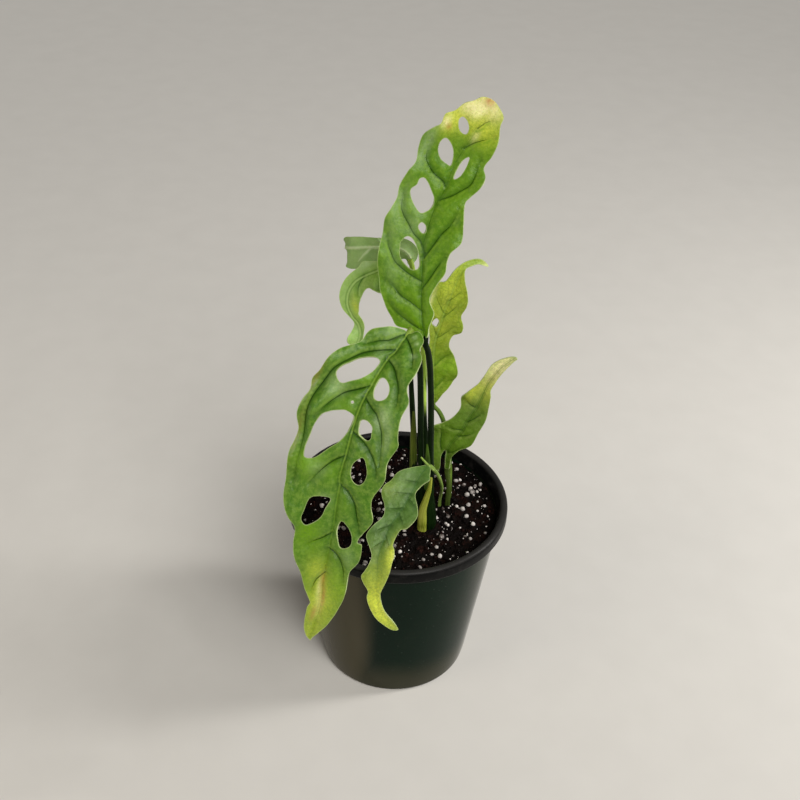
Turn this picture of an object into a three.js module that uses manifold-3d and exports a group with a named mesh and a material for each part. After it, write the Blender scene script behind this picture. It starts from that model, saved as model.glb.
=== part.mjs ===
import * as THREE from 'three';
import { mergeVertices } from 'three/addons/utils/BufferGeometryUtils.js';
import Module from 'manifold-3d';

// A young monstera obliqua in a round nursery pot. Millimetres, +Z up, origin at the
// centre of the pot's underside, +X to the right and +Y to the back.

// Driving dimensions of the pot and the soil
const potHeight = 98;
const rimRadius = 53;
const baseRadius = 37.5;
const neckRadius = 49.6;
const wall = 1.6;
const rimHeight = 7;
const footWidth = 7;
const channelLift = 1.6;
const drainCount = 6;
const drainRadius = 3.5;
const soilBelowRim = 8;
const clearance = 0.3;
const stalkGap = 0.7;

// Driving dimensions of the plant
const bladeThickness = 0.8;
const ribThickness = 0.9;
const veinReach = 2.6;
const rootDepth = 24;
const stemRadius = 4.8;
const stalkRadius = 1.4;

// Mesh spacing
const roundSteps = 48;
const bladeStep = 3.8;
const edgeStep = 2.3;

const wasm = await Module();
wasm.setup();

// Repeatable draws between 0 and 1
let drawState = 7;
function draw() {
  drawState = (drawState * 16807) % 2147483647;
  return drawState / 2147483647;
}

// Turns a closed geometry into a solid and back, so that it can be joined or cut
function toSolid(geometry) {
  const bare = geometry.clone();
  bare.deleteAttribute('normal');
  bare.deleteAttribute('uv');
  const merged = mergeVertices(bare, 1e-4);
  const vertProperties = new Float32Array(merged.attributes.position.array);
  const triVerts = new Uint32Array(merged.index.array);
  return new wasm.Manifold(new wasm.Mesh({ numProp: 3, vertProperties, triVerts }));
}

function fromSolid(solid) {
  const { vertProperties, triVerts } = solid.getMesh();
  const geometry = new THREE.BufferGeometry();
  geometry.setAttribute('position', new THREE.BufferAttribute(vertProperties, 3));
  geometry.setIndex(new THREE.BufferAttribute(triVerts, 1));
  return geometry;
}

function join(geometries) {
  const solids = geometries.map(toSolid);
  return fromSolid(solids.reduce((whole, solid) => whole.add(solid)));
}

function cut(body, tools) {
  const solids = tools.map(toSolid);
  return fromSolid(solids.reduce((rest, solid) => rest.subtract(solid), toSolid(body)));
}

// A lathed shape that stands along Z, from points given as radius and height
function turned(profile, steps = roundSteps) {
  const points = profile.map(([radius, height]) => new THREE.Vector2(radius, height));
  return new THREE.LatheGeometry(points, steps).rotateX(Math.PI / 2);
}

// An upright cylinder whose flat sides touch the radius from outside
function uprightCylinder(radius, bottom, top, x, y) {
  const sides = 20;
  const corner = radius / Math.cos(Math.PI / sides);
  const shape = new THREE.CylinderGeometry(corner, corner, top - bottom, sides);
  return shape.rotateX(Math.PI / 2).translate(x, y, (bottom + top) / 2);
}

// The inside of the pot wall at a height above the pot floor
const floorTop = channelLift + wall;
const neckHeight = potHeight - rimHeight;
function innerRadius(height) {
  const slope = (neckRadius - baseRadius) / neckHeight;
  return baseRadius - wall + slope * height;
}

// The pot: a flat centre and a foot ring on the ground with a raised channel of drain
// holes between them, a straight tapered wall and a rolled rim
function potGeometry() {
  const footInner = baseRadius - footWidth;
  const centreRadius = footInner - 12;
  const profile = [
    [0, 0],
    [centreRadius, 0],
    [centreRadius + 1, channelLift],
    [footInner - 1, channelLift],
    [footInner, 0],
    [baseRadius - 2, 0],
    [baseRadius - 0.5, 0.8],
    [baseRadius + 0.2, 2.5],
    [neckRadius, neckHeight],
    [rimRadius - 1, neckHeight + 0.4],
    [rimRadius, neckHeight + 1.6],
    [rimRadius, potHeight - 2.2],
    [rimRadius - 0.6, potHeight - 0.7],
    [rimRadius - 1.8, potHeight],
    [rimRadius - 3.2, potHeight - 0.5],
    [innerRadius(potHeight) + 0.2, potHeight - 2.4],
    [innerRadius(neckHeight), neckHeight],
    [innerRadius(floorTop), floorTop],
    [0, floorTop],
  ];
  const drainRing = (centreRadius + footInner) / 2;
  const drains = Array.from({ length: drainCount }, (_, index) => {
    const angle = ((index + 0.5) / drainCount) * 2 * Math.PI;
    const x = drainRing * Math.cos(angle);
    const y = drainRing * Math.sin(angle);
    return uprightCylinder(drainRadius, -1, floorTop + 1, x, y);
  });
  return cut(turned(profile), drains);
}

// Soil surface: a low mound with crumbs, level within about 2 mm
const soilEdge = potHeight - soilBelowRim;
function soilHeight(x, y) {
  const mound = 1.6 * Math.cos((Math.hypot(x, y) / rimRadius) * 1.5);
  const swell = 0.7 * Math.sin(x * 0.21 + 1.3) * Math.cos(y * 0.17);
  const crumbs = 0.55 * Math.sin(x * 0.83 + y * 0.31) * Math.sin(y * 0.77 - x * 0.23);
  return soilEdge + mound + swell + crumbs;
}

function soilGeometry(holes) {
  const bottom = floorTop + clearance;
  const topRadius = innerRadius(soilEdge) - clearance - 0.1;
  const rings = 9;
  const profile = [[0, bottom], [innerRadius(bottom) - clearance - 0.1, bottom]];
  for (let ring = rings; ring >= 0; ring -= 1) {
    profile.push([(topRadius * ring) / rings, soilEdge]);
  }
  const body = turned(profile);
  const position = body.attributes.position;
  for (let index = 0; index < position.count; index += 1) {
    if (position.getZ(index) > bottom + 1) {
      const x = position.getX(index);
      const y = position.getY(index);
      const rim = Math.hypot(x, y) > topRadius - 0.5;
      position.setZ(index, rim ? soilEdge : soilHeight(x, y));
    }
  }
  const grains = perliteGrains(topRadius, holes);
  const tools = holes.map(({ x, y, radius }) =>
    uprightCylinder(radius + clearance, soilEdge - rootDepth - 1, potHeight + 9, x, y));
  return cut(join([body, ...grains]), tools);
}

// Perlite: pale grains scattered over the soil, each half sunk and clear of the stems
function perliteGrains(reach, holes) {
  const grains = [];
  while (grains.length < 46) {
    const distance = (reach - 3.5) * Math.sqrt(draw());
    const angle = draw() * 2 * Math.PI;
    const size = 1.1 + 1.3 * draw();
    const x = distance * Math.cos(angle);
    const y = distance * Math.sin(angle);
    const crowded = holes.some((hole) => Math.hypot(x - hole.x, y - hole.y) < hole.radius + size + 1);
    if (!crowded) {
      const grain = new THREE.IcosahedronGeometry(size, 0);
      grain.scale(1, 0.75 + 0.4 * draw(), 0.9).rotateX(draw() * 3).rotateZ(draw() * 3);
      grains.push(grain.translate(x, y, soilHeight(x, y) + size * 0.15));
    }
  }
  return grains;
}

function curveThrough(points, closed = false) {
  const curve = new THREE.CatmullRomCurve3(
    points.map(([x, y, z = 0]) => new THREE.Vector3(x, y, z)), closed, 'catmullrom', 0.5);
  curve.arcLengthDivisions = 800;
  return curve;
}

// A round tapered stalk: a tube of radius 1 along a path, each ring then made as wide
// as the stalk is there
function stalk(points, radii, sides = 8) {
  const path = curveThrough(points);
  const steps = Math.max(4, Math.round(path.getLength() / 6));
  const section = new THREE.Shape().absarc(0, 0, 1, 0, 2 * Math.PI);
  const tube = new THREE.ExtrudeGeometry(section, {
    steps, curveSegments: sides / 2, bevelEnabled: false, extrudePath: path,
  });
  const centres = path.getSpacedPoints(steps);
  const position = tube.attributes.position;
  const vertex = new THREE.Vector3();
  for (let index = 0; index < position.count; index += 1) {
    vertex.fromBufferAttribute(position, index);
    const gaps = centres.map((centre) => centre.distanceTo(vertex));
    const ring = gaps.indexOf(Math.min(...gaps));
    const place = (ring / steps) * (radii.length - 1);
    const span = Math.min(Math.floor(place), radii.length - 2);
    const radius = THREE.MathUtils.lerp(radii[span], radii[span + 1], place - span);
    vertex.sub(centres[ring]).multiplyScalar(radius).add(centres[ring]);
    position.setXYZ(index, vertex.x, vertex.y, vertex.z);
  }
  return tube;
}

// Delaunay triangles of points in a plane, by adding them one at a time
function triangulate(points) {
  const far = 4000;
  const all = [...points, [-far, -far], [far, -far], [0, far]];
  const withCircle = (corners) => {
    const [[ax, ay], [bx, by], [cx, cy]] = corners.map((corner) => all[corner]);
    const twice = 2 * (ax * (by - cy) + bx * (cy - ay) + cx * (ay - by));
    const a = ax * ax + ay * ay;
    const b = bx * bx + by * by;
    const c = cx * cx + cy * cy;
    const x = (a * (by - cy) + b * (cy - ay) + c * (ay - by)) / twice;
    const y = (a * (cx - bx) + b * (ax - cx) + c * (bx - ax)) / twice;
    return { corners, x, y, reach: Math.hypot(ax - x, ay - y) };
  };
  const count = points.length;
  let triangles = [withCircle([count, count + 1, count + 2])];
  points.forEach(([px, py], added) => {
    const rim = new Map();
    const kept = [];
    triangles.forEach((triangle) => {
      if (Math.hypot(px - triangle.x, py - triangle.y) >= triangle.reach) {
        kept.push(triangle);
        return;
      }
      triangle.corners.forEach((from, side) => {
        const to = triangle.corners[(side + 1) % 3];
        if (!rim.delete(`${to},${from}`)) rim.set(`${from},${to}`, [from, to]);
      });
    });
    triangles = kept;
    rim.forEach(([from, to]) => triangles.push(withCircle([from, to, added])));
  });
  return triangles.map(({ corners }) => corners).filter((corners) => corners.every((c) => c < count));
}

function inside([x, y], loop) {
  let within = false;
  loop.forEach(([ax, ay], index) => {
    const [bx, by] = loop[(index + 1) % loop.length];
    if (ay > y !== by > y && x < ax + ((y - ay) / (by - ay)) * (bx - ax)) within = !within;
  });
  return within;
}

// How far a flat point is from a line of points
function distanceToLine([x, y], line) {
  let nearest = Infinity;
  for (let index = 1; index < line.length; index += 1) {
    const [ax, ay] = line[index - 1];
    const [bx, by] = line[index];
    const length = (bx - ax) ** 2 + (by - ay) ** 2;
    const share = THREE.MathUtils.clamp(((x - ax) * (bx - ax) + (y - ay) * (by - ay)) / length, 0, 1);
    nearest = Math.min(nearest, Math.hypot(x - ax - share * (bx - ax), y - ay - share * (by - ay)));
  }
  return nearest;
}

// How far out a line of [along, out] points is at a distance along
function outAt(line, along) {
  const after = Math.max(1, line.findIndex(([reach]) => reach > along));
  const [[fromAlong, fromOut], [toAlong, toOut]] = [line[after - 1], line[after]];
  const share = THREE.MathUtils.clamp((along - fromAlong) / (toAlong - fromAlong), 0, 1);
  return THREE.MathUtils.lerp(fromOut, toOut, share);
}

function smoothLoop(points, step) {
  const curve = curveThrough(points, true);
  const count = Math.max(8, Math.round(curve.getLength() / step));
  return curve.getSpacedPoints(count).slice(0, count).map(({ x, y }) => [x, y]);
}

// The leaves. Their outlines, holes and veins lie flat as [along, out]: millimetres
// along the blade from the stalk, and out to the right (+) or the left (-), seen on the
// upper face with the tip up. midrib is the blade's middle line in the pot's frame and
// face lists the way the upper face looks, from the stalk to the tip. rib is the midrib
// itself, which strays a little from the middle line. fold lifts both halves like a V,
// bulge is the height of the swellings between the veins, and wave gives the height,
// length and start of the margin's waves.
const leaves = {
  leaf_top: {
    colour: 0x5f9a2c,
    midrib: [[8.3, -17.5, 201.5], [7, -9, 221], [8, -2, 236], [11.5, 5.5, 251.5],
      [17, 12.5, 266], [23.5, 16, 278.5], [30.5, 17.5, 290.5]],
    face: [[-0.45, -0.9, 0.35], [-0.15, -0.9, 0.35], [-0.15, -0.9, 0.35], [-0.05, -0.9, 0.3]],
    fold: 0.12,
    bulge: 1.3,
    wave: [1.5, 17, 0.4],
    rib: [[0, 0], [6, -0.8], [13, -1], [27, -1], [34, -1.5], [40.5, -2], [46, -1.5], [55, -1], [59, 0],
      [63, 0.5], [71.5, 0.2], [78, 0.5], [87, 1], [100, 1]],
    right: [[0, 1.1], [2, 2], [4.5, 2.5], [7.5, 4], [10.5, 5], [13, 4], [16, 3], [19, 4], [23.5, 6.5],
      [28, 9], [33, 9], [37, 10], [42.5, 13.5], [50.5, 12.5], [59, 10.5], [62.5, 11.5], [68, 14], [74, 14],
      [78, 11.5], [84, 12], [90.5, 11], [96.5, 8], [100, 7], [102, 3.5], [103, -1]],
    left: [[0, -1.3], [2.5, -5], [3.7, -7.8], [5, -12], [8.5, -14], [12.5, -15.5], [17, -17], [20, -18.3],
      [26, -19.2], [34, -19.5], [39.5, -19.5], [45, -19.5], [49, -18], [53.5, -17], [58, -17.5], [63.5, -16],
      [68, -14.5], [73, -16], [77.5, -16.5], [82, -14], [84.5, -12.5], [88.5, -13], [91.5, -10.5],
      [96, -9], [99, -6.5], [102, -4.5]],
    holes: [
      [[91, -6.5], [90.5, -4], [88.5, -2], [86, -1.5], [85.5, -3], [86.2, -5], [88, -6.5], [89.5, -7.2]],
      [[80.5, -8], [80, -5.5], [78, -3], [75, -1.5], [72, -1], [72, -3], [72.8, -5.8], [75, -8.2], [78, -9]],
      [[78.5, 4], [77.5, 4.6], [74, 5], [70, 4.5], [67.7, 3], [68, 2], [72.5, 2], [76, 2.5]],
      [[63.5, -9], [62.5, -7], [60, -4.5], [57.5, -2.5], [54.5, -2], [52, -3.5], [50.5, -6], [53, -9.5],
        [56, -12], [58, -12.5], [60.2, -10.8], [62.5, -10.5]],
      [[47, -4.5], [46, -2.7], [43.8, -2], [42.8, -3], [44, -5], [45.5, -5.5]],
      [[40.5, -9], [39.7, -6.5], [37, -4.5], [33.5, -3], [30.5, -2.3], [28.5, -3], [28, -5.5], [30, -8.5],
        [32.5, -10.5], [36, -11.2], [38.5, -11]],
    ],
    veins: [
      [[3, -1], [6, -6], [11, -12], [15, -14.5]],
      [[11, -1], [14.5, -5], [17.5, -9.5], [21, -13], [23, -16.5]],
      [[23.5, -1], [26.5, -7], [30, -12], [33.5, -14.5], [36.5, -16.5], [40, -17.5]],
      [[33, -1], [37, -2], [40, -4], [42, -6.8], [45.5, -10], [48.5, -12.8], [52, -14.5], [59.5, -15.5]],
      [[63.5, 0], [65, -1.5], [66.5, -6], [68.5, -9], [71, -11.5], [77, -13]],
      [[20, -1], [25, 2.5], [30.5, 5.5], [35, 8]],
      [[33, -1], [38.5, 2], [44, 4.5], [48, 7], [53, 8.5], [57, 9]],
      [[57.5, 0], [60.5, 4], [64, 7], [67.5, 9.5], [72, 10], [80, 9]],
      [[80.5, 0.5], [84.5, 3], [88, 6], [91, 8.5]],
      [[90, 1], [94, 2.5], [97, 5]],
    ],
  },
  leaf_front: {
    colour: 0x4f8f2f,
    midrib: [[1.2, -21.8, 206.3], [-4, -29, 203.2], [-11.5, -39.5, 193], [-18, -48.5, 180], [-23, -56, 164],
      [-26.5, -61.5, 148], [-28, -66, 131], [-30, -69.5, 114], [-32, -72, 97], [-37, -74.5, 76]],
    face: [[-0.15, -0.6, 0.75], [-0.1, -0.75, 0.6], [-0.05, -0.9, 0.4]],
    fold: 0.1,
    bulge: 1.6,
    wave: [1.8, 21, 0.8],
    rib: [[0, 0], [6, -1], [11, -1], [15, 0], [24, 0.5], [32, 1], [40, 1], [49, 0.5], [58, 0], [68, 0],
      [73, -1], [88, -1], [94, -0.5], [104, 0], [120, 0.5], [135, 0], [148, 0.3], [153, 0]],
    right: [[0, 1.2], [1.5, 4], [5.5, 8.5], [9, 12.5], [14.5, 13.5], [20, 18.5], [25, 21], [31, 22.5],
      [35, 24], [39, 22.7], [43, 23.5], [48.5, 24], [54, 22], [59, 22], [62.5, 22.5], [68, 22],
      [74.5, 21.5], [80.5, 21], [87, 18.5], [93, 15.2], [101, 15], [108, 13.5], [116, 10], [124, 7.5],
      [130, 4.5], [134, 5.2], [145, 4], [152.5, 0]],
    left: [[0, -1.3], [-1.8, -3], [-1.5, -5.5], [1, -8.5], [5, -9.5], [9, -13], [16, -14], [22.5, -13.7],
      [27.5, -17], [34.5, -17], [43.5, -19], [47, -20], [55, -18], [62.5, -19], [71.5, -16], [76, -16],
      [84.5, -17.5], [94.5, -12], [96, -14], [103, -14], [110.5, -10.5], [121.5, -10], [128.5, -8.5], [139, -5.5],
      [150, -1]],
    holes: [
      [[17.5, 2], [17, 4], [18, 7], [20.5, 10.5], [23.5, 13], [26, 15], [29, 16], [31, 14.5], [32, 12],
        [30, 9], [27, 5.5], [23, 3], [19.5, 2]],
      [[23.5, -1.5], [23, -3.5], [24.5, -6], [27, -7.5], [30, -7.5], [32, -5.5], [32, -3], [29, -1.3],
        [26, -1]],
      [[42, 8.5], [41, 5.5], [42, 2], [45, 1.5], [49.5, 2.2], [53.5, 4], [57, 7], [62, 11], [63.5, 13.5],
        [63.5, 16], [60, 17], [54.5, 16.5], [51, 16], [46, 14.5], [43.5, 11.5]],
      [[42.5, -1.5], [41.5, -4], [43, -7], [45.5, -7.7], [48, -8], [49.5, -6.5], [49, -4], [48, -2.5],
        [45, -1.7]],
      [[57, -6.5], [56.7, -8], [59, -9.7], [63, -11], [66.5, -10.5], [68.5, -8.5], [67.5, -6], [64.5, -4.2],
        [60.5, -4.2]],
      [[79.5, 10], [78, 6.5], [77.7, 2.5], [79, 1.5], [82.5, 3], [86.5, 4.5], [89.5, 7.5], [91, 11],
        [88, 12.5], [84, 11.5]],
      [[87.5, -4], [88.5, -6.5], [92, -8.7], [95.5, -9.5], [98, -8.5], [99.5, -5.3], [96.5, -3.5],
        [92, -2.5]],
    ],
    veins: [
      [[1.5, 0.5], [7.5, 3.5], [10.5, 7.5], [14, 11.5]],
      [[10, -0.5], [14, 5.5], [17.5, 10], [23.5, 14.5], [28, 17.5], [32.5, 19], [40, 20.5], [47.5, 20.5],
        [61, 18.7], [74, 18.5]],
      [[28, 1], [31.5, 5], [35, 9.5], [38.5, 12], [42.5, 14.5], [47.5, 17]],
      [[58.5, 0], [62.5, 4.5], [68, 8.5], [73.5, 11.5]],
      [[94, -0.5], [96.5, 2.5], [98.5, 5.5], [101, 9]],
      [[114, 0], [118.5, 3.5], [124.5, 5]],
      [[2, 0], [5, -4.5], [9, -8.5], [14, -11]],
      [[15, 0], [17, -4], [20, -7], [24, -10], [30.5, -12.5]],
      [[33, 1], [36, -3.5], [38, -7], [42.5, -10.5], [47.5, -12.5], [58, -15]],
      [[48, 0.5], [51.5, -7], [57, -12.5], [63, -15]],
      [[71, -0.7], [73.5, -5], [77.5, -8.5], [82.5, -10], [92, -12]],
      [[101.5, 0], [104.5, -4.5], [110.5, -7.5], [118, -8.5]],
    ],
  },
  leaf_right: {
    colour: 0x8fae3a,
    midrib: [[14.5, 6, 151], [13.5, 5, 167], [13, 4, 182.5], [14.5, 3.5, 192], [17, 3.5, 203],
      [19.5, 4, 211], [22, 5, 218.5], [24.5, 6.5, 223], [29.5, 9, 224], [34.5, 12, 220]],
    face: [[0.25, -0.9, 0.3], [0.2, -0.9, 0.35], [0, -0.9, 0.45], [0.2, -0.8, 0.6]],
    fold: 0.15,
    bulge: 1,
    wave: [1.1, 14, 0],
    rib: [[0, 0], [88, 0]],
    right: [[0, 1.1], [5, 4], [10.5, 8.5], [17.5, 10.5], [25.5, 9.5], [33.5, 6.5], [40, 6.5], [44, 9.5],
      [48, 9.5], [52, 7.5], [58, 8], [62, 7], [68.5, 3], [72.5, 1.2], [77, 1.5], [82, 1], [87.5, 0]],
    left: [[0, -1.1], [6, -2.1], [13, -3], [27.5, -3.5], [34.5, -2.5], [40.5, -4], [48, -6.5], [54.5, -7.5],
      [58, -8], [63.5, -7.5], [65, -5], [67, -4], [71, -3], [74.5, -1.5], [79, -1], [84, -1]],
    holes: [[[47.5, -2.5], [45.5, -0.7], [43, -1.5], [44.5, -3.7]]],
    veins: [
      [[8, 0], [14, 5]],
      [[21.5, 0], [28.5, 7.5]],
      [[37, 0], [41.5, 3.5], [46.5, 6]],
      [[48, 0], [53.5, 3], [59, 5]],
      [[57, 0], [64, 4]],
      [[38.5, 0], [47, -5]],
      [[50.5, 0], [58, -6.5]],
    ],
  },
  leaf_lower_right: {
    colour: 0x6fa035,
    midrib: [[22.5, 3, 114.5], [22.5, 1.5, 123], [24.2, 0.5, 130.5], [27.5, -0.5, 138.5], [33, -1.5, 154],
      [38.5, -2.5, 168.5], [42.5, -3, 177], [49.5, -4, 184.5]],
    face: [[-0.1, -0.9, 0.4], [0, -0.85, 0.5], [0.1, -0.8, 0.6]],
    fold: 0.15,
    bulge: 0.9,
    wave: [1, 13, 1],
    rib: [[0, 0], [8.5, -0.3], [13, -1], [18, -1], [22.5, -0.5], [28.5, 0], [36, 0], [43.5, 0.5],
      [57.5, -0.5], [64, 0], [76, -0.3]],
    right: [[0, 1], [3, 1.5], [10, 2], [17.5, 4.5], [23, 7], [30, 7], [39, 7], [45.5, 5.5], [52, 3.5],
      [55, 2], [61, 2], [67.5, 2], [73.5, 1], [76.5, 0.5]],
    left: [[0, -0.9], [5, -0.9], [10.5, -1.2], [12.5, -2.1], [9.5, -3], [5, -3], [1, -3.2], [-2, -4],
      [2.5, -6], [9, -7], [15.5, -9], [23.5, -12.5], [27, -10], [32.5, -7], [39.5, -6], [45, -8], [50, -6.5],
      [55, -4.5], [62, -4], [67, -4], [72.5, -2.5], [75, -1.5]],
    holes: [],
    veins: [
      [[11, -0.5], [15.5, 3], [19.5, 4.5]],
      [[23, -0.5], [26.5, 3], [30, 5]],
      [[33, 0], [37.5, 2.5], [42, 4]],
      [[12.5, -4], [18, -6.5], [25.5, -9.5]],
      [[27.5, 0], [26.5, -4.5], [26.5, -8]],
      [[42.5, 0], [43.5, -3.5], [45, -6.5]],
    ],
  },
  leaf_small: {
    colour: 0x5e8a3c,
    midrib: [[13, -21, 134.5], [9.5, -25, 132], [6, -31, 127.5], [1.5, -37.5, 122], [-3, -43, 117.5],
      [-7.5, -51.5, 109.5], [-8, -56, 103], [-8, -58.5, 96], [-7.5, -60, 88.5], [-5, -60.5, 80.5],
      [-1, -60.5, 75], [2.5, -60, 70]],
    face: [[-0.2, -0.5, 0.8], [-0.15, -0.6, 0.7], [0, -0.9, 0.4], [0, -0.95, 0.2]],
    fold: 0.12,
    bulge: 0.9,
    wave: [0.9, 15, 0],
    rib: [[0, 0], [89, 0]],
    right: [[0, 1.1], [2.5, 3], [5, 5.5], [9, 10], [14.5, 11], [17.5, 12], [21.5, 11.5], [27.5, 6.5],
      [30.5, 5], [35.5, 7], [39, 8], [41, 7.5], [45.5, 3.5], [48, 3], [53, 5.5], [56, 7], [62.5, 4],
      [65.5, 4.5], [72.5, 4], [82, 3], [86.5, 2], [89, 0]],
    left: [[0, -1.1], [3, -3.5], [6, -5], [10.5, -2.5], [14.5, -2], [20, -6.5], [23.5, -8], [29.5, -7],
      [32, -5], [39, -4.5], [41.5, -6], [46, -7], [55, -5], [62.5, -2], [66.5, -1.5], [77.5, -1.5],
      [83.5, -1]],
    holes: [],
    veins: [
      [[9, 0], [11, 7.5]],
      [[15, 0], [19, 8.5]],
      [[22.5, 0], [26.5, 5.5]],
      [[31.5, 0], [37.5, 5.5]],
      [[39.5, 0], [44, 3.5]],
      [[17.5, 0], [19.5, -5]],
      [[25.5, 0], [29, -5.5]],
      [[37, 0], [43, -5]],
    ],
  },
  leaf_back_curled: {
    colour: 0x7fb04a,
    midrib: [[-4, 17.8, 212], [-9.5, 18.5, 213.3], [-18.5, 18, 209.5], [-23, 17, 206.5], [-25.5, 15.5, 202.5],
      [-26, 14, 197.5], [-24, 12, 192.5], [-21, 10, 189.5], [-20, 8, 185.5], [-21.5, 6, 180.5]],
    face: [[0.1, -0.85, 0.5], [0, -0.8, 0.6], [-0.3, -0.85, 0.3], [-0.2, -0.9, 0.2], [0.4, -0.85, 0.1]],
    fold: 0.2,
    bulge: 0.7,
    wave: [0.6, 16, 0],
    rib: [[0, 0], [52, 0]],
    right: [[0, 1.1], [5, 3], [10, 4.5], [14, 6], [17, 4.5], [24, 4], [29, 3.5], [33, 2.5], [38, 1],
      [41, 1.5], [45, 4], [50, 6], [52, 4]],
    left: [[0, -1.1], [3, -7], [7, -9.5], [11, -10], [14, -8], [17, -5.5], [25.5, -6.5], [32, -6], [39, -3.5],
      [43, -2.5], [46, -1.5], [51, -1]],
    holes: [],
    veins: [[[6, 0], [12, -8]], [[16, 0], [26, -5]]],
  },
  leaf_back_upper: {
    colour: 0x8fa383,
    midrib: [[1.4, 23.4, 213.5], [0.2, 24, 217.3], [-3, 25, 219.5], [-7.5, 26, 219.5], [-13.5, 27, 219],
      [-20, 28, 218], [-26, 30, 216.5], [-28, 34, 214.5], [-27, 41, 210]],
    face: [[0, 0.8, -0.6], [0, 0.85, -0.5], [0.1, 0.8, -0.5], [0.5, 0.8, -0.3]],
    fold: 0.05,
    bulge: 0.7,
    wave: [0.6, 15, 0],
    rib: [[0, 0], [45, 0]],
    right: [[0, 1.1], [3, 2], [6, 5], [10, 7.5], [18, 8.5], [26, 9], [33, 9], [39, 6], [45, 0]],
    left: [[0, -1.1], [2, -3.2], [5, -5], [9, -5], [16, -4], [22, -4.5], [27.5, -5], [34, -5], [40, -4]],
    holes: [],
    veins: [[[12, 0], [18, 6]], [[22, 0], [28, 6]], [[14, 0], [19, -4]]],
  },
};

// The place, direction, side and face of a leaf's midrib at a distance along it
function midribFrame(path, length, face, along) {
  const share = THREE.MathUtils.clamp(along / length, 0, 1);
  const point = path.getPointAt(share);
  const direction = path.getTangentAt(share);
  point.addScaledVector(direction, along - share * length);
  const place = share * (face.length - 1);
  const span = Math.min(Math.floor(place), face.length - 2);
  const look = new THREE.Vector3(...face[span])
    .lerp(new THREE.Vector3(...face[span + 1]), place - span);
  const side = new THREE.Vector3().crossVectors(direction, look).normalize();
  return { point, direction, side, up: new THREE.Vector3().crossVectors(side, direction) };
}

// A leaf blade: its flat outline and holes are filled with triangles, and both faces
// take the same triangles through the curved and waved surface of the leaf
function bladeGeometry({ midrib, face, fold, bulge, wave, rib, right, left, holes, veins }) {
  const path = curveThrough(midrib);
  const length = path.getLength();
  const outline = smoothLoop([...right, ...left.slice().reverse()], edgeStep);
  const rims = holes.map((hole) => smoothLoop(hole, edgeStep * 0.8));
  const edges = [outline, ...rims].map((loop) => [...loop, loop[0]]);
  const points = [outline, ...rims].flat();
  const [waveHeight, waveLength, waveStart] = wave;
  const broad = Math.max(...right.map(([, out]) => out), ...left.map(([, out]) => -out));

  // Grid of inner points in staggered rows, each nudged so that no four share a circle
  const rowStep = bladeStep * 0.87;
  for (let row = 1; row * rowStep < length + 4; row += 1) {
    for (let out = -broad + (row % 2) * bladeStep * 0.5; out <= broad; out += bladeStep) {
      const spot = [row * rowStep + 0.3 * draw(), out + 0.3 * draw()];
      const clear = edges.every((edge) => distanceToLine(spot, edge) > bladeStep * 0.55);
      if (clear && inside(spot, outline) && !rims.some((rim) => inside(spot, rim))) points.push(spot);
    }
  }

  const surface = (along, out) => {
    const { point, side, up } = midribFrame(path, length, face, along);
    const ramp = Math.min(1, Math.abs(out) / broad) ** 2;
    const phase = (along / waveLength) * 2 * Math.PI + (out > 0 ? waveStart : waveStart + 2);
    const across = Math.abs(out - outAt(rib, along));
    const veinGap = Math.min(across, ...veins.map((vein) => distanceToLine([along, out], vein)));
    const swelling = bulge * (1 - Math.exp(-((veinGap / veinReach) ** 2)));
    const lift = fold * across + waveHeight * ramp * Math.sin(phase) + swelling;
    return point.addScaledVector(side, out).addScaledVector(up, lift);
  };
  const nudge = 0.6;
  const faces = points.map(([along, out]) => {
    const place = surface(along, out);
    const ahead = surface(along + nudge, out).sub(surface(along - nudge, out));
    const aside = surface(along, out + nudge).sub(surface(along, out - nudge));
    const normal = aside.cross(ahead).normalize();
    const across = out - outAt(rib, along);
    const keel = ribThickness * Math.exp(-((across / 1.6) ** 2)) * (1 - (0.7 * along) / length);
    const upper = place.clone().addScaledVector(normal, bladeThickness / 2);
    const lower = place.clone().addScaledVector(normal, -bladeThickness / 2 - keel);
    return { upper, lower };
  });

  const triangles = triangulate(points).filter((corners) => {
    const middle = [0, 1].map((axis) => corners.reduce((sum, corner) => sum + points[corner][axis], 0) / 3);
    return inside(middle, outline) && !rims.some((rim) => inside(middle, rim));
  });
  const count = points.length;
  const index = [];
  const open = new Map();
  triangles.forEach((corners) => {
    const [a, b, c] = corners;
    index.push(a, c, b, a + count, b + count, c + count);
    corners.forEach((from, side) => {
      const to = corners[(side + 1) % 3];
      if (!open.delete(`${to},${from}`)) open.set(`${from},${to}`, [from, to]);
    });
  });
  open.forEach(([from, to]) => {
    index.push(from, to, to + count, from, to + count, from + count);
  });

  const geometry = new THREE.BufferGeometry();
  const corners = [...faces.map(({ upper }) => upper), ...faces.map(({ lower }) => lower)];
  geometry.setFromPoints(corners);
  geometry.setIndex(index);
  return geometry;
}

// The last stretch of a stalk: it turns into its blade's midrib and stops just short of it
function stalkEnd(name, bend) {
  const { midrib, face } = leaves[name];
  const path = curveThrough(midrib);
  const { point, direction } = midribFrame(path, path.getLength(), face, 0);
  const before = point.clone().addScaledVector(direction, -bend);
  const last = point.clone().addScaledVector(direction, -stalkGap);
  return [before.toArray(), last.toArray()];
}

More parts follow.
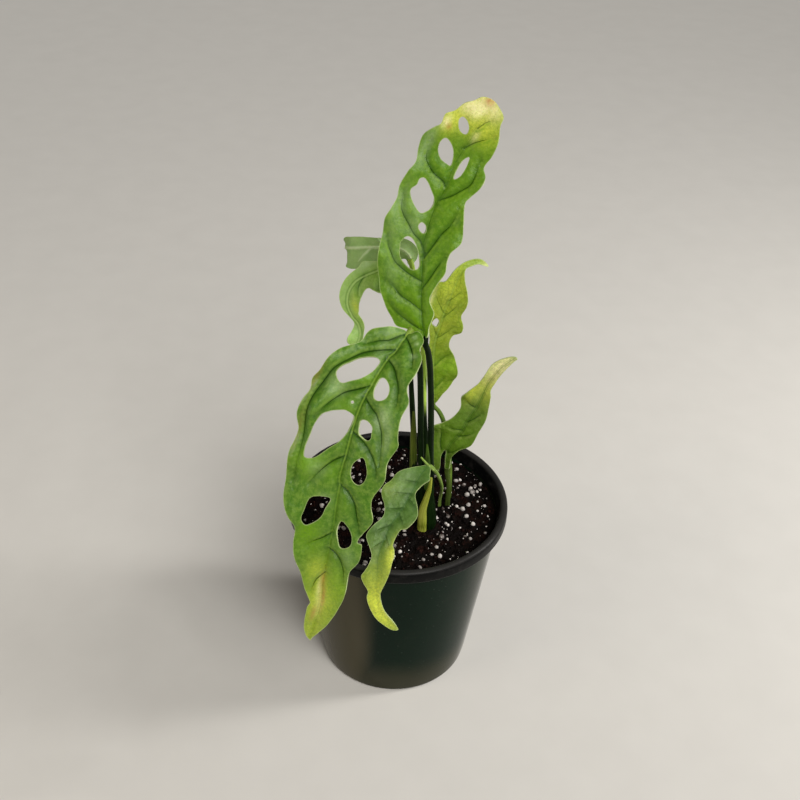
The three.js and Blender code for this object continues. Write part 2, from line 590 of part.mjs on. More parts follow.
// Main stem with the stalks of the top, front and two back leaves, two sheaths and a new
// shoot, grown together
const stemBase = { x: 13.8, y: -12.4, radius: stemRadius + 0.6 };
const rootBottom = soilEdge - rootDepth;
function mainStemGeometry() {
  const { x, y } = stemBase;
  return join([
    stalk([[x, y, rootBottom], [x, y, soilEdge], [x - 0.4, y + 0.2, 103], [x - 1.8, y + 0.6, 117],
      [x - 2.2, y + 1, 126]], [stemRadius, stemRadius, stemRadius, stemRadius * 0.75, 1.8], 14),
    stalk([[x + 0.2, y, 96], [14.5, -13, 120], [13.5, -13.5, 144], [12.5, -14, 166.5], [11.3, -15, 184],
      [10, -16.7, 194], ...stalkEnd('leaf_top', 3)], [2.4, stalkRadius, stalkRadius, 1.2]),
    stalk([[x - 1, y, 96], [10.5, -12, 120], [9, -11.5, 142], [8, -11.5, 164.5], [6.8, -13.2, 184.5],
      [4.6, -17, 197], ...stalkEnd('leaf_front', 2)], [2.4, stalkRadius, stalkRadius, 1.2]),
    stalk([[x - 0.5, y + 1, 96], [12.3, -9.5, 120], [11.2, -4, 136.5], [10, 1, 151], [9.2, 8, 168],
      [6.8, 15, 189.5], [3.2, 19.5, 202.5], ...stalkEnd('leaf_back_upper', 2)],
      [2.4, stalkRadius, 1.1, 1.3, 1.3]),
    stalk([[x - 2, y + 1, 96], [7, -9.5, 118], [6, -5, 137], [4.8, 0, 149.5], [3.5, 6, 163],
      [2, 12, 182], ...stalkEnd('leaf_back_curled', 6)], [2.4, stalkRadius, 1, 1.2]),
    stalk([[x - 3, y + 1, 104], [7, -9.6, 116], [6, -6.5, 132], [5.5, -2.6, 146], [5.2, -0.8, 150.5]],
      [1.5, 1.9, 1.8, 1.6, 0.5]),
    stalk([[x - 1.6, y - 1.8, rootBottom + 4], [x - 1.6, y - 2.2, soilEdge + 1], [11.6, -16.4, 98],
      [11.6, -17.4, 105.5], [12.8, -18.6, 113], [14, -19.5, 120], [14.6, -19.8, 127]],
      [1.6, 2.2, 2.6, 1.9, 1.6, 1.1, 0.5]),
    stalk([[x - 1, y - 1, 108], [12.6, -14.2, 122], [12.5, -14.6, 134], [12, -14.8, 142.5]],
      [1, 1.2, 1.5, 0.4]),
  ]);
}

// Stalks that leave the soil by themselves
const looseStalks = {
  stalk_small: {
    blade: 'leaf_small', bend: 1, radii: [0.9, 0.75, 0.75, 0.85, 0.9], colour: 0x77913f,
    points: [[20.2, 2.6], [20.2, 2.5, 94], [20.4, -0.5, 101], [20.4, -5.5, 109], [19.5, -10, 116.5],
      [18, -14.5, 124], [15.8, -18.2, 130.5]],
  },
  stalk_right: {
    blade: 'leaf_right', bend: 2.5, radii: [1.4, 1.3, 1.2, 1], colour: 0x7f9c45,
    points: [[24.6, 9.5], [24.6, 9.5, 95], [24, 9, 110], [22, 8, 127.5], [19.5, 6.6, 140], [17, 6.1, 146]],
  },
  stalk_lower_right: {
    blade: 'leaf_lower_right', bend: 3, radii: [1.3, 1.3, 1.2, 1.1], colour: 0x7b9a3f,
    points: [[24, 2.6], [24, 2.5, 96.5], [24.1, 2.6, 104]],
  },
};

function looseStalkGeometry({ points, blade, bend, radii }) {
  const [[x, y], ...rest] = points;
  const path = [[x, y, rootBottom], [x, y, soilEdge - 4], ...rest, ...stalkEnd(blade, bend)];
  return stalk(path, [radii[0], ...radii]);
}

function part(name, geometry, colour, roughness) {
  geometry.computeVertexNormals();
  const material = new THREE.MeshStandardMaterial({ color: colour, roughness, metalness: 0 });
  const mesh = new THREE.Mesh(geometry, material);
  mesh.name = name;
  return mesh;
}

const stemHoles = [stemBase, ...Object.values(looseStalks).map(({ points, radii }) => ({
  x: points[0][0], y: points[0][1], radius: radii[0],
}))];

const plant = new THREE.Group();
plant.add(part('pot', potGeometry(), 0x0d1a14, 0.25));
plant.add(part('soil', soilGeometry(stemHoles), 0x1d1512, 0.95));
plant.add(part('main_stem', mainStemGeometry(), 0x2f4a22, 0.5));
Object.entries(looseStalks).forEach(([name, entry]) => {
  plant.add(part(name, looseStalkGeometry(entry), entry.colour, 0.5));
});
Object.entries(leaves).forEach(([name, leaf]) => {
  plant.add(part(name, bladeGeometry(leaf), leaf.colour, 0.45));
});

export default plant;
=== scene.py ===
import math
import random

import bpy
import numpy as np
from mathutils import Matrix, Vector, noise
from mathutils.geometry import delaunay_2d_cdt


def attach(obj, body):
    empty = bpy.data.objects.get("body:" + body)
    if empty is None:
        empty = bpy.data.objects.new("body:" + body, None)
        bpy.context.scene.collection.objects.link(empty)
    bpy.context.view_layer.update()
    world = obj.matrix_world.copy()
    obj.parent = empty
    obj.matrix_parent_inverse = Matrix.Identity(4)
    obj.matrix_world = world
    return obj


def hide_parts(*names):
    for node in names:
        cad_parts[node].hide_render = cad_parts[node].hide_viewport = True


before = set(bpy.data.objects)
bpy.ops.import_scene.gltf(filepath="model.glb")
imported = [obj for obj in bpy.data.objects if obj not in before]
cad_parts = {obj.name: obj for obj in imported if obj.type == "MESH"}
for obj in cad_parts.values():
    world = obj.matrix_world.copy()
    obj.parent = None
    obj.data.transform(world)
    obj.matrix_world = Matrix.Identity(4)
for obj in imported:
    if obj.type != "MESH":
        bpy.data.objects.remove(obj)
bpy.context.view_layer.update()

# A young monstera obliqua in a round nursery pot: fine pieces in place of the plain solids.
# Lengths are in millimetres until they reach a mesh.
MM = 0.001
draw = random.Random(11)

# Sizes shared with the solids
POT_HEIGHT = 98
RIM_RADIUS = 53
BASE_RADIUS = 37.5
NECK_RADIUS = 49.6
WALL = 1.6
RIM_HEIGHT = 7
FOOT_WIDTH = 7
CHANNEL_WIDTH = 12
CHANNEL_LIFT = 1.6
DRAIN_COUNT = 6
DRAIN_RADIUS = 3.5
SOIL_BELOW_RIM = 8
SOIL_CLEARANCE = 0.4
ROOT_DEPTH = 24
NECK_HEIGHT = POT_HEIGHT - RIM_HEIGHT
SOIL_EDGE = POT_HEIGHT - SOIL_BELOW_RIM
FLOOR_TOP = CHANNEL_LIFT + WALL
ROOT = SOIL_EDGE - ROOT_DEPTH
# Where each stem stands in the soil: x, y and how far around it the soil is bare
FEET = {"main_stem": (13.8, -12.4, 5.4), "stalk_small": (20.2, 2.6, 0.9),
        "stalk_right": (24.6, 9.5, 1.4), "stalk_lower_right": (24, 2.6, 1.3)}

# Camera: the place and angle that the pot's rim and base ellipses give
eye = Vector((0, -423, 464)) * MM
target = Vector((-1.1, 0, 155.8)) * MM
roll = math.radians(2.24)
ahead = (target - eye).normalized()
level = ahead.cross(Vector((0, 0, 1))).normalized()
above = level.cross(ahead)
rightward = level * math.cos(roll) + above * math.sin(roll)
upward = above * math.cos(roll) - level * math.sin(roll)
camera = bpy.data.objects.new("camera", bpy.data.cameras.new("camera"))
camera.data.sensor_width = 36
camera.data.lens = 51.75
camera.data.clip_start = 0.01
camera.matrix_world = Matrix.Translation(eye) @ Matrix((rightward, upward, -ahead)).transposed().to_4x4()
bpy.context.collection.objects.link(camera)
bpy.context.scene.camera = camera


# Materials
def linear(colour):
    """An sRGB hex colour as linear red, green, blue and alpha."""
    values = [int(colour[start:start + 2], 16) / 255 for start in (1, 3, 5)]
    return [v / 12.92 if v <= 0.04045 else ((v + 0.055) / 1.055) ** 2.4 for v in values] + [1]


def add(tree, kind, inputs=None, **settings):
    """Adds a node, sets its properties and its inputs, and links each input that is a socket, or
    a node, of which it takes the first output in use. A text input is a hex colour."""
    node = tree.nodes.new("ShaderNode" + kind)
    for key, value in settings.items():
        setattr(node, key, value)
    for key, value in (inputs or {}).items():
        if isinstance(value, bpy.types.Node):
            value = next(output for output in value.outputs if output.enabled)
        if isinstance(value, bpy.types.NodeSocket):
            tree.links.new(value, node.inputs[key])
        else:
            node.inputs[key].default_value = linear(value) if isinstance(value, str) else value
    return node


def surface(lay_out):
    """Turns a function that lays out nodes up to the shader into one that makes a material."""
    def make(name, *colours, **looks):
        material = bpy.data.materials.new(name)
        material.use_nodes = True
        material.node_tree.nodes.clear()
        shader = lay_out(material.node_tree, *colours, **looks)
        add(material.node_tree, "OutputMaterial", {"Surface": shader})
        return material
    return make


# Living leaf, upper face: a waxy skin over green tissue. The tissue is painted darker along the
# veins as shade in their valleys, and lighter on the quilted pads between them, partly its own
# mottling and partly painted highlight on the bulges; a fine net of small veins shows as darker
# green, each side vein has a dark line of painted shade in its crease with a painted highlight on
# its stalk side, the midrib a line of painted shade beside it, and the skin gives a soft gloss.
# Parts of a blade are fresh yellow-green, yellow, cream or brown, and pale parts are partly the
# tissue's own paler colour and partly painted highlight.
# The pale tint is partly the tissue's own paler patches and partly painted highlight on the bulges
TINTS = {"lush": "#6f9d08", "yellow": "#d6e04a", "pale_and_highlight": "#a9c585", "cream": "#fffab2", "brown": "#ad6c3c"}


@surface
def leaf_skin(tree, deep, fresh, light, vein, rib, rib_wide=0.8, gloss=0.38, mottle=0.5, creased=0.75,
              netted=0.04, rib_to=(40, 95)):
    flat = add(tree, "Attribute", attribute_name="flat").outputs["Vector"]
    read = {key: add(tree, "Attribute", attribute_name=key).outputs["Fac"]
            for key in ("rib_gap", "vein_gap", "crease_highlight", "margin", *TINTS)}
    wander = add(tree, "TexNoise", {"Vector": flat, "Scale": 0.3, "Detail": 3})
    moved = add(tree, "VectorMath", {0: wander.outputs["Color"], 1: (3.5, 3.5, 0), 2: flat},
                operation="MULTIPLY_ADD")
    # Net of small veins: cells about 3 mm wide, each split again into cells of about 1 mm
    nets = []
    for scale, wide in ((0.34, 0.09), (1.0, 0.12)):
        cells = add(tree, "TexVoronoi", {"Vector": moved, "Scale": scale}, feature="DISTANCE_TO_EDGE")
        nets.append(add(tree, "MapRange", {0: cells, 1: 0, 2: wide, 3: 1, 4: 0}))
    quilt = add(tree, "TexVoronoi", {"Vector": moved, "Scale": 0.42, "Smoothness": 0.8}, feature="SMOOTH_F1")
    pads = add(tree, "MapRange", {0: quilt, 1: 0.15, 2: 0.62, 3: 1, 4: 0})
    blotch = add(tree, "TexNoise", {"Vector": flat, "Scale": 0.16, "Detail": 4, "Roughness": 0.6})
    blotches = add(tree, "MapRange", {0: blotch, 1: 0.4, 2: 0.66, 3: 0.1, 4: 1})
    grainy = add(tree, "TexNoise", {"Vector": flat, "Scale": 0.9, "Detail": 3, "Roughness": 0.7})
    tone = add(tree, "TexNoise", {"Vector": flat, "Scale": 0.42, "Detail": 4, "Roughness": 0.65})
    tones = add(tree, "MapRange", {0: tone, 1: 0.42, 2: 0.62, 3: 0, 4: 0.7})
    ragged = add(tree, "MapRange", {0: grainy, 1: 0.3, 2: 0.7, 3: 0.55, 4: 1.25})
    swollen = add(tree, "MapRange", {0: read["vein_gap"], 1: 0.2, 2: 2.6, 3: 0, 4: 1})
    padded = add(tree, "Math", {0: pads, 1: blotches}, operation="MULTIPLY")
    padded = add(tree, "Math", {0: padded, 1: tones}, operation="MAXIMUM")
    # Painted highlight with the tissue's own mottling: pads away from the veins take the light colour
    lit = add(tree, "Math", {0: swollen, 1: padded}, operation="MULTIPLY")
    tinted = {}
    for key, tint in TINTS.items():
        share = add(tree, "Math", {0: read[key], 1: ragged}, operation="MULTIPLY", use_clamp=True)
        tinted[key] = (share, 1, tint)
    # Lines at a set distance from a vein or the margin; the dark line along each vein and the one beside the
    # midrib are painted shade in the creases
    lines = {}
    for key, source, centre, reach in (("vein", "vein_gap", 0, 0.4), ("rib", "rib_gap", 0, rib_wide),
                                       ("rib side shade", "rib_gap", rib_wide + 0.2, 0.4),
                                       ("edge", "margin", 0, 0.35)):
        away = add(tree, "Math", {0: read[source], 1: centre}, operation="SUBTRACT")
        away = add(tree, "Math", {0: away}, operation="ABSOLUTE")
        lines[key] = add(tree, "MapRange", {0: away, 1: 0.1, 2: reach, 3: 1, 4: 0},
                         interpolation_type="SMOOTHSTEP")
    # The midrib fades out between the two distances in rib_to
    along = add(tree, "SeparateXYZ", {0: flat}).outputs["X"]
    fade = add(tree, "MapRange", {0: along, 1: rib_to[0], 2: rib_to[1], 3: 1, 4: 0.15})
    for key in ("rib", "rib side shade"):
        lines[key] = add(tree, "Math", {0: lines[key], 1: fade}, operation="MULTIPLY")
    # Painted shade: towards each vein the tissue goes from the fresh colour to the deep one, as in the valley
    colour = add(tree, "Mix", {0: swollen, 6: deep, 7: fresh}, data_type="RGBA")
    for source, share, layer in (
            (lit, mottle, light), tinted["lush"], tinted["yellow"], (nets[0], netted, vein),
            (nets[1], 0.08, vein), tinted["pale_and_highlight"], tinted["cream"], tinted["brown"],
            (read["crease_highlight"], 0.75, light), (lines["vein"], creased, vein),
            (lines["rib side shade"], 0.5 * creased, vein), (lines["rib"], 0.8, rib),
            (lines["edge"], 0.45, "#c3d290")):
        part = add(tree, "Math", {0: source, 1: share}, operation="MULTIPLY")
        colour = add(tree, "Mix", {0: part, 6: colour, 7: layer}, data_type="RGBA")
    # The net and the veins lie in fine grooves and the skin has pores of about 0.3 mm
    pores = add(tree, "TexNoise", {"Vector": flat, "Scale": 3.2, "Detail": 2})
    height = grainy
    for source, rise in ((nets[0], -0.15), (lines["vein"], -1.2), (pads, 0.8), (pores, 0.25)):
        height = add(tree, "Math", {0: source, 1: rise, 2: height}, operation="MULTIPLY_ADD")
    bump = add(tree, "Bump", {"Strength": 0.4, "Distance": 0.0004, "Height": height})
    rough = add(tree, "MapRange", {0: grainy, 1: 0.2, 2: 0.8, 3: gloss - 0.06, 4: gloss + 0.1})
    return add(tree, "BsdfPrincipled", {
        "Base Color": colour, "Roughness": rough, "Normal": bump, "IOR": 1.42, "Specular IOR Level": 0.36,
        "Subsurface Weight": 0.06, "Subsurface Radius": (0.5, 1, 0.12), "Subsurface Scale": 0.001})


# Living leaf, under face: paler and duller than the upper one, with the veins raised and light
@surface
def leaf_underside(tree, tissue, shade, vein):
    flat = add(tree, "Attribute", attribute_name="flat").outputs["Vector"]
    rib_gap, vein_gap, yellow = (add(tree, "Attribute", attribute_name=key).outputs["Fac"]
                                 for key in ("rib_gap", "vein_gap", "yellow"))
    near = add(tree, "Math", {0: rib_gap, 1: vein_gap}, operation="MINIMUM")
    line = add(tree, "MapRange", {0: near, 1: 0.1, 2: 0.9, 3: 0.75, 4: 0}, interpolation_type="SMOOTHSTEP")
    cells = add(tree, "TexVoronoi", {"Vector": flat, "Scale": 0.4}, feature="DISTANCE_TO_EDGE")
    net = add(tree, "MapRange", {0: cells, 1: 0, 2: 0.08, 3: 0.3, 4: 0})
    patches = add(tree, "TexNoise", {"Vector": flat, "Scale": 0.2, "Detail": 4})
    colour = add(tree, "Mix", {0: patches, 6: shade, 7: tissue}, data_type="RGBA")
    for share, layer in ((yellow, "#b4bd62"), (net, shade), (line, vein)):
        colour = add(tree, "Mix", {0: share, 6: colour, 7: layer}, data_type="RGBA")
    bump = add(tree, "Bump", {"Strength": 0.3, "Distance": 0.0003, "Height": net})
    return add(tree, "BsdfPrincipled", {
        "Base Color": colour, "Roughness": 0.55, "Normal": bump, "IOR": 1.42, "Specular IOR Level": 0.3,
        "Subsurface Weight": 0.1, "Subsurface Radius": (0.5, 1, 0.12), "Subsurface Scale": 0.001})


# Cut edge of a blade and of its holes: a thin pale seam of firmer tissue
@surface
def leaf_seam(tree, pale, shade):
    flat = add(tree, "Attribute", attribute_name="flat").outputs["Vector"]
    speck = add(tree, "TexNoise", {"Vector": flat, "Scale": 0.5, "Detail": 2})
    colour = add(tree, "Mix", {0: speck, 6: pale, 7: shade}, data_type="RGBA")
    return add(tree, "BsdfPrincipled", {"Base Color": colour, "Roughness": 0.4, "IOR": 1.42})


# Leaf stalk: smooth green skin with fine lengthwise fibres, about 0.4 mm apart, and paler
# streaks; older sheaths yellow to olive. Marked stretches are pale: young skin at a stalk's end
# and a shoot's tip, and painted light on a lit stretch of a back stalk
@surface
def stalk_skin(tree, dark, pale, streak=0.5):
    flat = add(tree, "Attribute", attribute_name="flat").outputs["Vector"]
    young_and_lit = add(tree, "Attribute", attribute_name="young_and_lit").outputs["Fac"]
    stretched = add(tree, "Mapping", {"Vector": flat, "Scale": (0.06, 1.6, 1)})
    fibre = add(tree, "TexNoise", {"Vector": stretched, "Scale": 1.6, "Detail": 4})
    broad = add(tree, "TexNoise", {"Vector": flat, "Scale": 0.09, "Detail": 3})
    streaks = add(tree, "MapRange", {0: fibre, 1: 0.4, 2: 0.68, 3: 0, 4: streak})
    cloud = add(tree, "MapRange", {0: broad, 1: 0.4, 2: 0.65, 3: 0, 4: 0.5})
    colour = dark
    # The pale share is young skin, and on the back stalk painted light
    for share, layer in ((cloud, pale), (streaks, pale), (young_and_lit, "#a3c24f")):
        colour = add(tree, "Mix", {0: share, 6: colour, 7: layer}, data_type="RGBA")
    bump = add(tree, "Bump", {"Strength": 0.3, "Distance": 0.0003, "Height": fibre})
    return add(tree, "BsdfPrincipled", {"Base Color": colour, "Roughness": 0.42, "Normal": bump,
                                        "IOR": 1.42, "Specular IOR Level": 0.1})


# Injection moulded polypropylene, very dark green: a glossy skin with slow waves from the
# mould, specks of grit, a faint patchy dusty film, and a painted reflection in warm brown-grey on
# the left side and along the foot, with a faint painted highlight at the right edge
@surface
def moulded_pot(tree):
    spot = add(tree, "TexCoord").outputs["Object"]
    tall = add(tree, "Mapping", {"Vector": spot, "Scale": (1, 1, 0.25)})
    waves = add(tree, "TexNoise", {"Vector": tall, "Scale": 22, "Detail": 2})
    dust = add(tree, "TexNoise", {"Vector": spot, "Scale": 70, "Detail": 6, "Roughness": 0.65})
    film = add(tree, "MapRange", {0: dust, 1: 0.5, 2: 0.8, 3: 0, 4: 0.04})
    where = add(tree, "VectorMath", {0: waves.outputs["Color"], 1: (0.016, 0.016, 0.016), 2: spot},
                operation="MULTIPLY_ADD")
    where = add(tree, "SeparateXYZ", {0: where}).outputs
    # Painted reflection on the left side (X) and along the foot (Z), and a painted highlight at the right
    # edge (X)
    painted_reflection = 0
    for axis, first, last, share in (("X", -0.012, 0, 0.27), ("Z", 0.012, 0.034, 0.15),
                                     ("X", 0.056, 0.04, 0.08)):
        band = add(tree, "MapRange", {0: where[axis], 1: first, 2: last, 3: share, 4: 0},
                   interpolation_type="SMOOTHSTEP")
        painted_reflection = add(tree, "Math", {0: painted_reflection, 1: band}, operation="MAXIMUM")
    specks = add(tree, "TexVoronoi", {"Vector": spot, "Scale": 240})
    marks = add(tree, "MapRange", {0: specks, 1: 0.05, 2: 0.12, 3: 0.35, 4: 0})
    colour = add(tree, "Mix", {0: waves, 6: "#000f07", 7: "#011d0f"}, data_type="RGBA")
    for share, layer in ((film, "#5a5444"), (painted_reflection, "#80725a"), (marks, "#3a453c")):
        colour = add(tree, "Mix", {0: share, 6: colour, 7: layer}, data_type="RGBA")
    rough = add(tree, "MapRange", {0: dust, 1: 0.3, 2: 0.8, 3: 0.06, 4: 0.2})
    slow = add(tree, "Bump", {"Strength": 0.35, "Distance": 0.002, "Height": waves})
    return add(tree, "BsdfPrincipled", {"Base Color": colour, "Roughness": rough, "Normal": slow,
                                        "IOR": 1.5, "Specular IOR Level": 0.07})


# The rolled rim of the same pot: black, its upward faces painted lighter grey as the light falling on its top
@surface
def rim_with_painted_top_light(tree):
    spot = add(tree, "TexCoord").outputs
    dust = add(tree, "TexNoise", {"Vector": spot["Object"], "Scale": 260, "Detail": 5, "Roughness": 0.7})
    grit = add(tree, "MapRange", {0: dust, 1: 0.5, 2: 0.8, 3: 0, 4: 0.4})
    facing = add(tree, "SeparateXYZ", {0: spot["Normal"]}).outputs["Z"]
    # Painted light: the more a face points up, the more it turns lighter grey
    painted_top_light = add(tree, "MapRange", {0: facing, 1: 0.25, 2: 0.85, 3: 0, 4: 1})
    colour = "#050606"
    for share, layer in ((painted_top_light, "#2c2b2a"), (grit, "#3a3735")):
        colour = add(tree, "Mix", {0: share, 6: colour, 7: layer}, data_type="RGBA")
    bump = add(tree, "Bump", {"Strength": 0.2, "Distance": 0.0003, "Height": dust})
    return add(tree, "BsdfPrincipled", {"Base Color": colour, "Roughness": 0.36, "Normal": bump,
                                        "IOR": 1.5, "Specular IOR Level": 0.1})


# Damp peat: nearly black, with reddish-brown fibres, rough, a little shine where it is wet
@surface
def damp_peat(tree, dark, warm):
    spot = add(tree, "TexCoord").outputs["Object"]
    lumps = add(tree, "TexNoise", {"Vector": spot, "Scale": 160, "Detail": 8, "Roughness": 0.7})
    fibres = add(tree, "TexVoronoi", {"Vector": spot, "Scale": 900})
    warmth = add(tree, "MapRange", {0: lumps, 1: 0.5, 2: 0.75, 3: 0, 4: 0.8})
    colour = add(tree, "Mix", {0: warmth, 6: dark, 7: warm}, data_type="RGBA")
    height = add(tree, "Math", {0: fibres, 1: 0.5, 2: lumps}, operation="MULTIPLY_ADD")
    bump = add(tree, "Bump", {"Strength": 0.9, "Distance": 0.0012, "Height": height})
    rough = add(tree, "MapRange", {0: lumps, 1: 0.3, 2: 0.6, 3: 0.55, 4: 0.95})
    return add(tree, "BsdfPrincipled", {"Base Color": colour, "Roughness": rough, "Normal": bump,
                                        "IOR": 1.4, "Specular IOR Level": 0.12})


# Perlite: popped volcanic glass, white and chalky, stained grey and brown by the peat
@surface
def perlite_glass(tree):
    spot = add(tree, "TexCoord").outputs["Object"]
    stain = add(tree, "Attribute", attribute_name="stain").outputs["Fac"]
    pits = add(tree, "TexVoronoi", {"Vector": spot, "Scale": 1800})
    dirt = add(tree, "TexNoise", {"Vector": spot, "Scale": 700, "Detail": 4})
    soiled = add(tree, "Math", {0: stain, 1: dirt}, operation="MULTIPLY")
    shade = add(tree, "MapRange", {0: soiled, 1: 0.05, 2: 0.55, 3: 0, 4: 1})
    colour = add(tree, "Mix", {0: shade, 6: "#d9d2cd", 7: "#3d2f2a"}, data_type="RGBA")
    bump = add(tree, "Bump", {"Strength": 0.6, "Distance": 0.0002, "Height": pits})
    return add(tree, "BsdfPrincipled", {"Base Color": colour, "Roughness": 0.85, "Normal": bump,
                                        "IOR": 1.5})


# Pale matt studio board
@surface
def studio_board(tree):
    spot = add(tree, "TexCoord").outputs["Object"]
    tooth = add(tree, "TexNoise", {"Vector": spot, "Scale": 40, "Detail": 3})
    colour = add(tree, "Mix", {0: tooth, 6: "#cfccc7", 7: "#d6d3ce"}, data_type="RGBA")
    return add(tree, "BsdfPrincipled", {"Base Color": colour, "Roughness": 0.8})


# Shapes
def smooth_curve(points, closed=False, per_span=40):
    """Positions along the even Catmull-Rom curve through the points."""
    points = np.array(points, float)
    if closed:
        row = np.concatenate([points[-1:], points, points[:2]])
    else:
        row = np.concatenate([[2 * points[0] - points[1]], points, [2 * points[-1] - points[-2]]])
    t = np.arange(per_span)[:, None] / per_span
    spans = [
        b + 0.5 * ((c - a) * t + (2 * a - 5 * b + 4 * c - d) * t ** 2 + (3 * b - a - 3 * c + d) * t ** 3)
        for a, b, c, d in zip(row, row[1:], row[2:], row[3:])
    ]
    return np.concatenate(spans if closed else spans + [points[-1:]])


def lengths_along(line):
    gaps = np.linalg.norm(np.diff(line, axis=0), axis=1)
    return np.concatenate([[0], np.cumsum(gaps)])


def read_at(marks, reach, line):
    return np.stack([np.interp(marks, reach, line[:, axis]) for axis in range(line.shape[1])], 1)


def even_steps(line, step, closed=False):
    """The same line with its points a step apart."""
    if closed:
        line = np.concatenate([line, line[:1]])
    reach = lengths_along(line)
    count = max(8, round(reach[-1] / step))
    spots = read_at(np.linspace(0, reach[-1], count + 1), reach, line)
    return spots[:-1] if closed else spots


def gap_to(spots, line, outwards=1, thinning=0):
    """How far each spot is from a line: above 0 on the line's left, or on its right if outwards
    is -1. With a thinning, the line thins out as if it ran that far away from the spots."""
    nearest = np.full(len(spots), 1e9)
    reach = lengths_along(line)
    for a, b, start, end in zip(line, line[1:], reach, reach[1:]):
        span = b - a
        share = np.clip((spots - a) @ span / (span @ span), 0, 1)
        thinned = thinning * ((start + share * (end - start)) / reach[-1]) ** 3
        away = spots - a - share[:, None] * span
        side = np.where((span[0] * away[:, 1] - span[1] * away[:, 0]) * outwards > 0, 1, -1)
        gap = np.linalg.norm(away, axis=1) + thinned
        nearest = np.where(gap < np.abs(nearest), gap * side, nearest)
    return nearest


def gap_to_veins(spots, veins):
    """How far each spot is from the nearest vein: above 0 on the stalk's side of the vein."""
    nearest = np.full(len(spots), 1e9)
    for vein in veins:
        gap = gap_to(spots, vein, np.sign(vein[-1, 1] - vein[0, 1]), 0.5)
        nearest = np.where(np.abs(gap) < np.abs(nearest), gap, nearest)
    return nearest


def within(spots, loop):
    """Which spots lie inside a flat loop."""
    crossings = np.zeros(len(spots), int)
    x, y = spots.T
    for (ax, ay), (bx, by) in zip(loop, np.roll(loop, -1, axis=0)):
        if ay != by:
            crossings += ((ay > y) != (by > y)) & (x < ax + (y - ay) / (by - ay) * (bx - ax))
    return crossings % 2 == 1


def unit(vectors):
    return vectors / np.linalg.norm(vectors, axis=1, keepdims=True)


def select_only(piece):
    bpy.ops.object.select_all(action="DESELECT")
    piece.select_set(True)
    bpy.context.view_layer.objects.active = piece


def new_piece(name, corners, faces):
    """A piece from corners in millimetres."""
    mesh = bpy.data.meshes.new(name)
    mesh.from_pydata((np.asarray(corners) * MM).tolist(), [], faces)
    piece = bpy.data.objects.new(name, mesh)
    bpy.context.collection.objects.link(piece)
    return piece


def store(piece, name, values, kind="FLOAT"):
    values = np.asarray(values, np.float32)
    attribute = piece.data.attributes.new(name, kind, "POINT")
    attribute.data.foreach_set("vector" if kind == "FLOAT_VECTOR" else "value", values.ravel())


def settle(piece, slot_name, *nodes):
    """The piece rides with the pot and stands for its nodes; slot_name is not used."""
    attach(piece, "root")
    if nodes:
        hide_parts(*nodes)


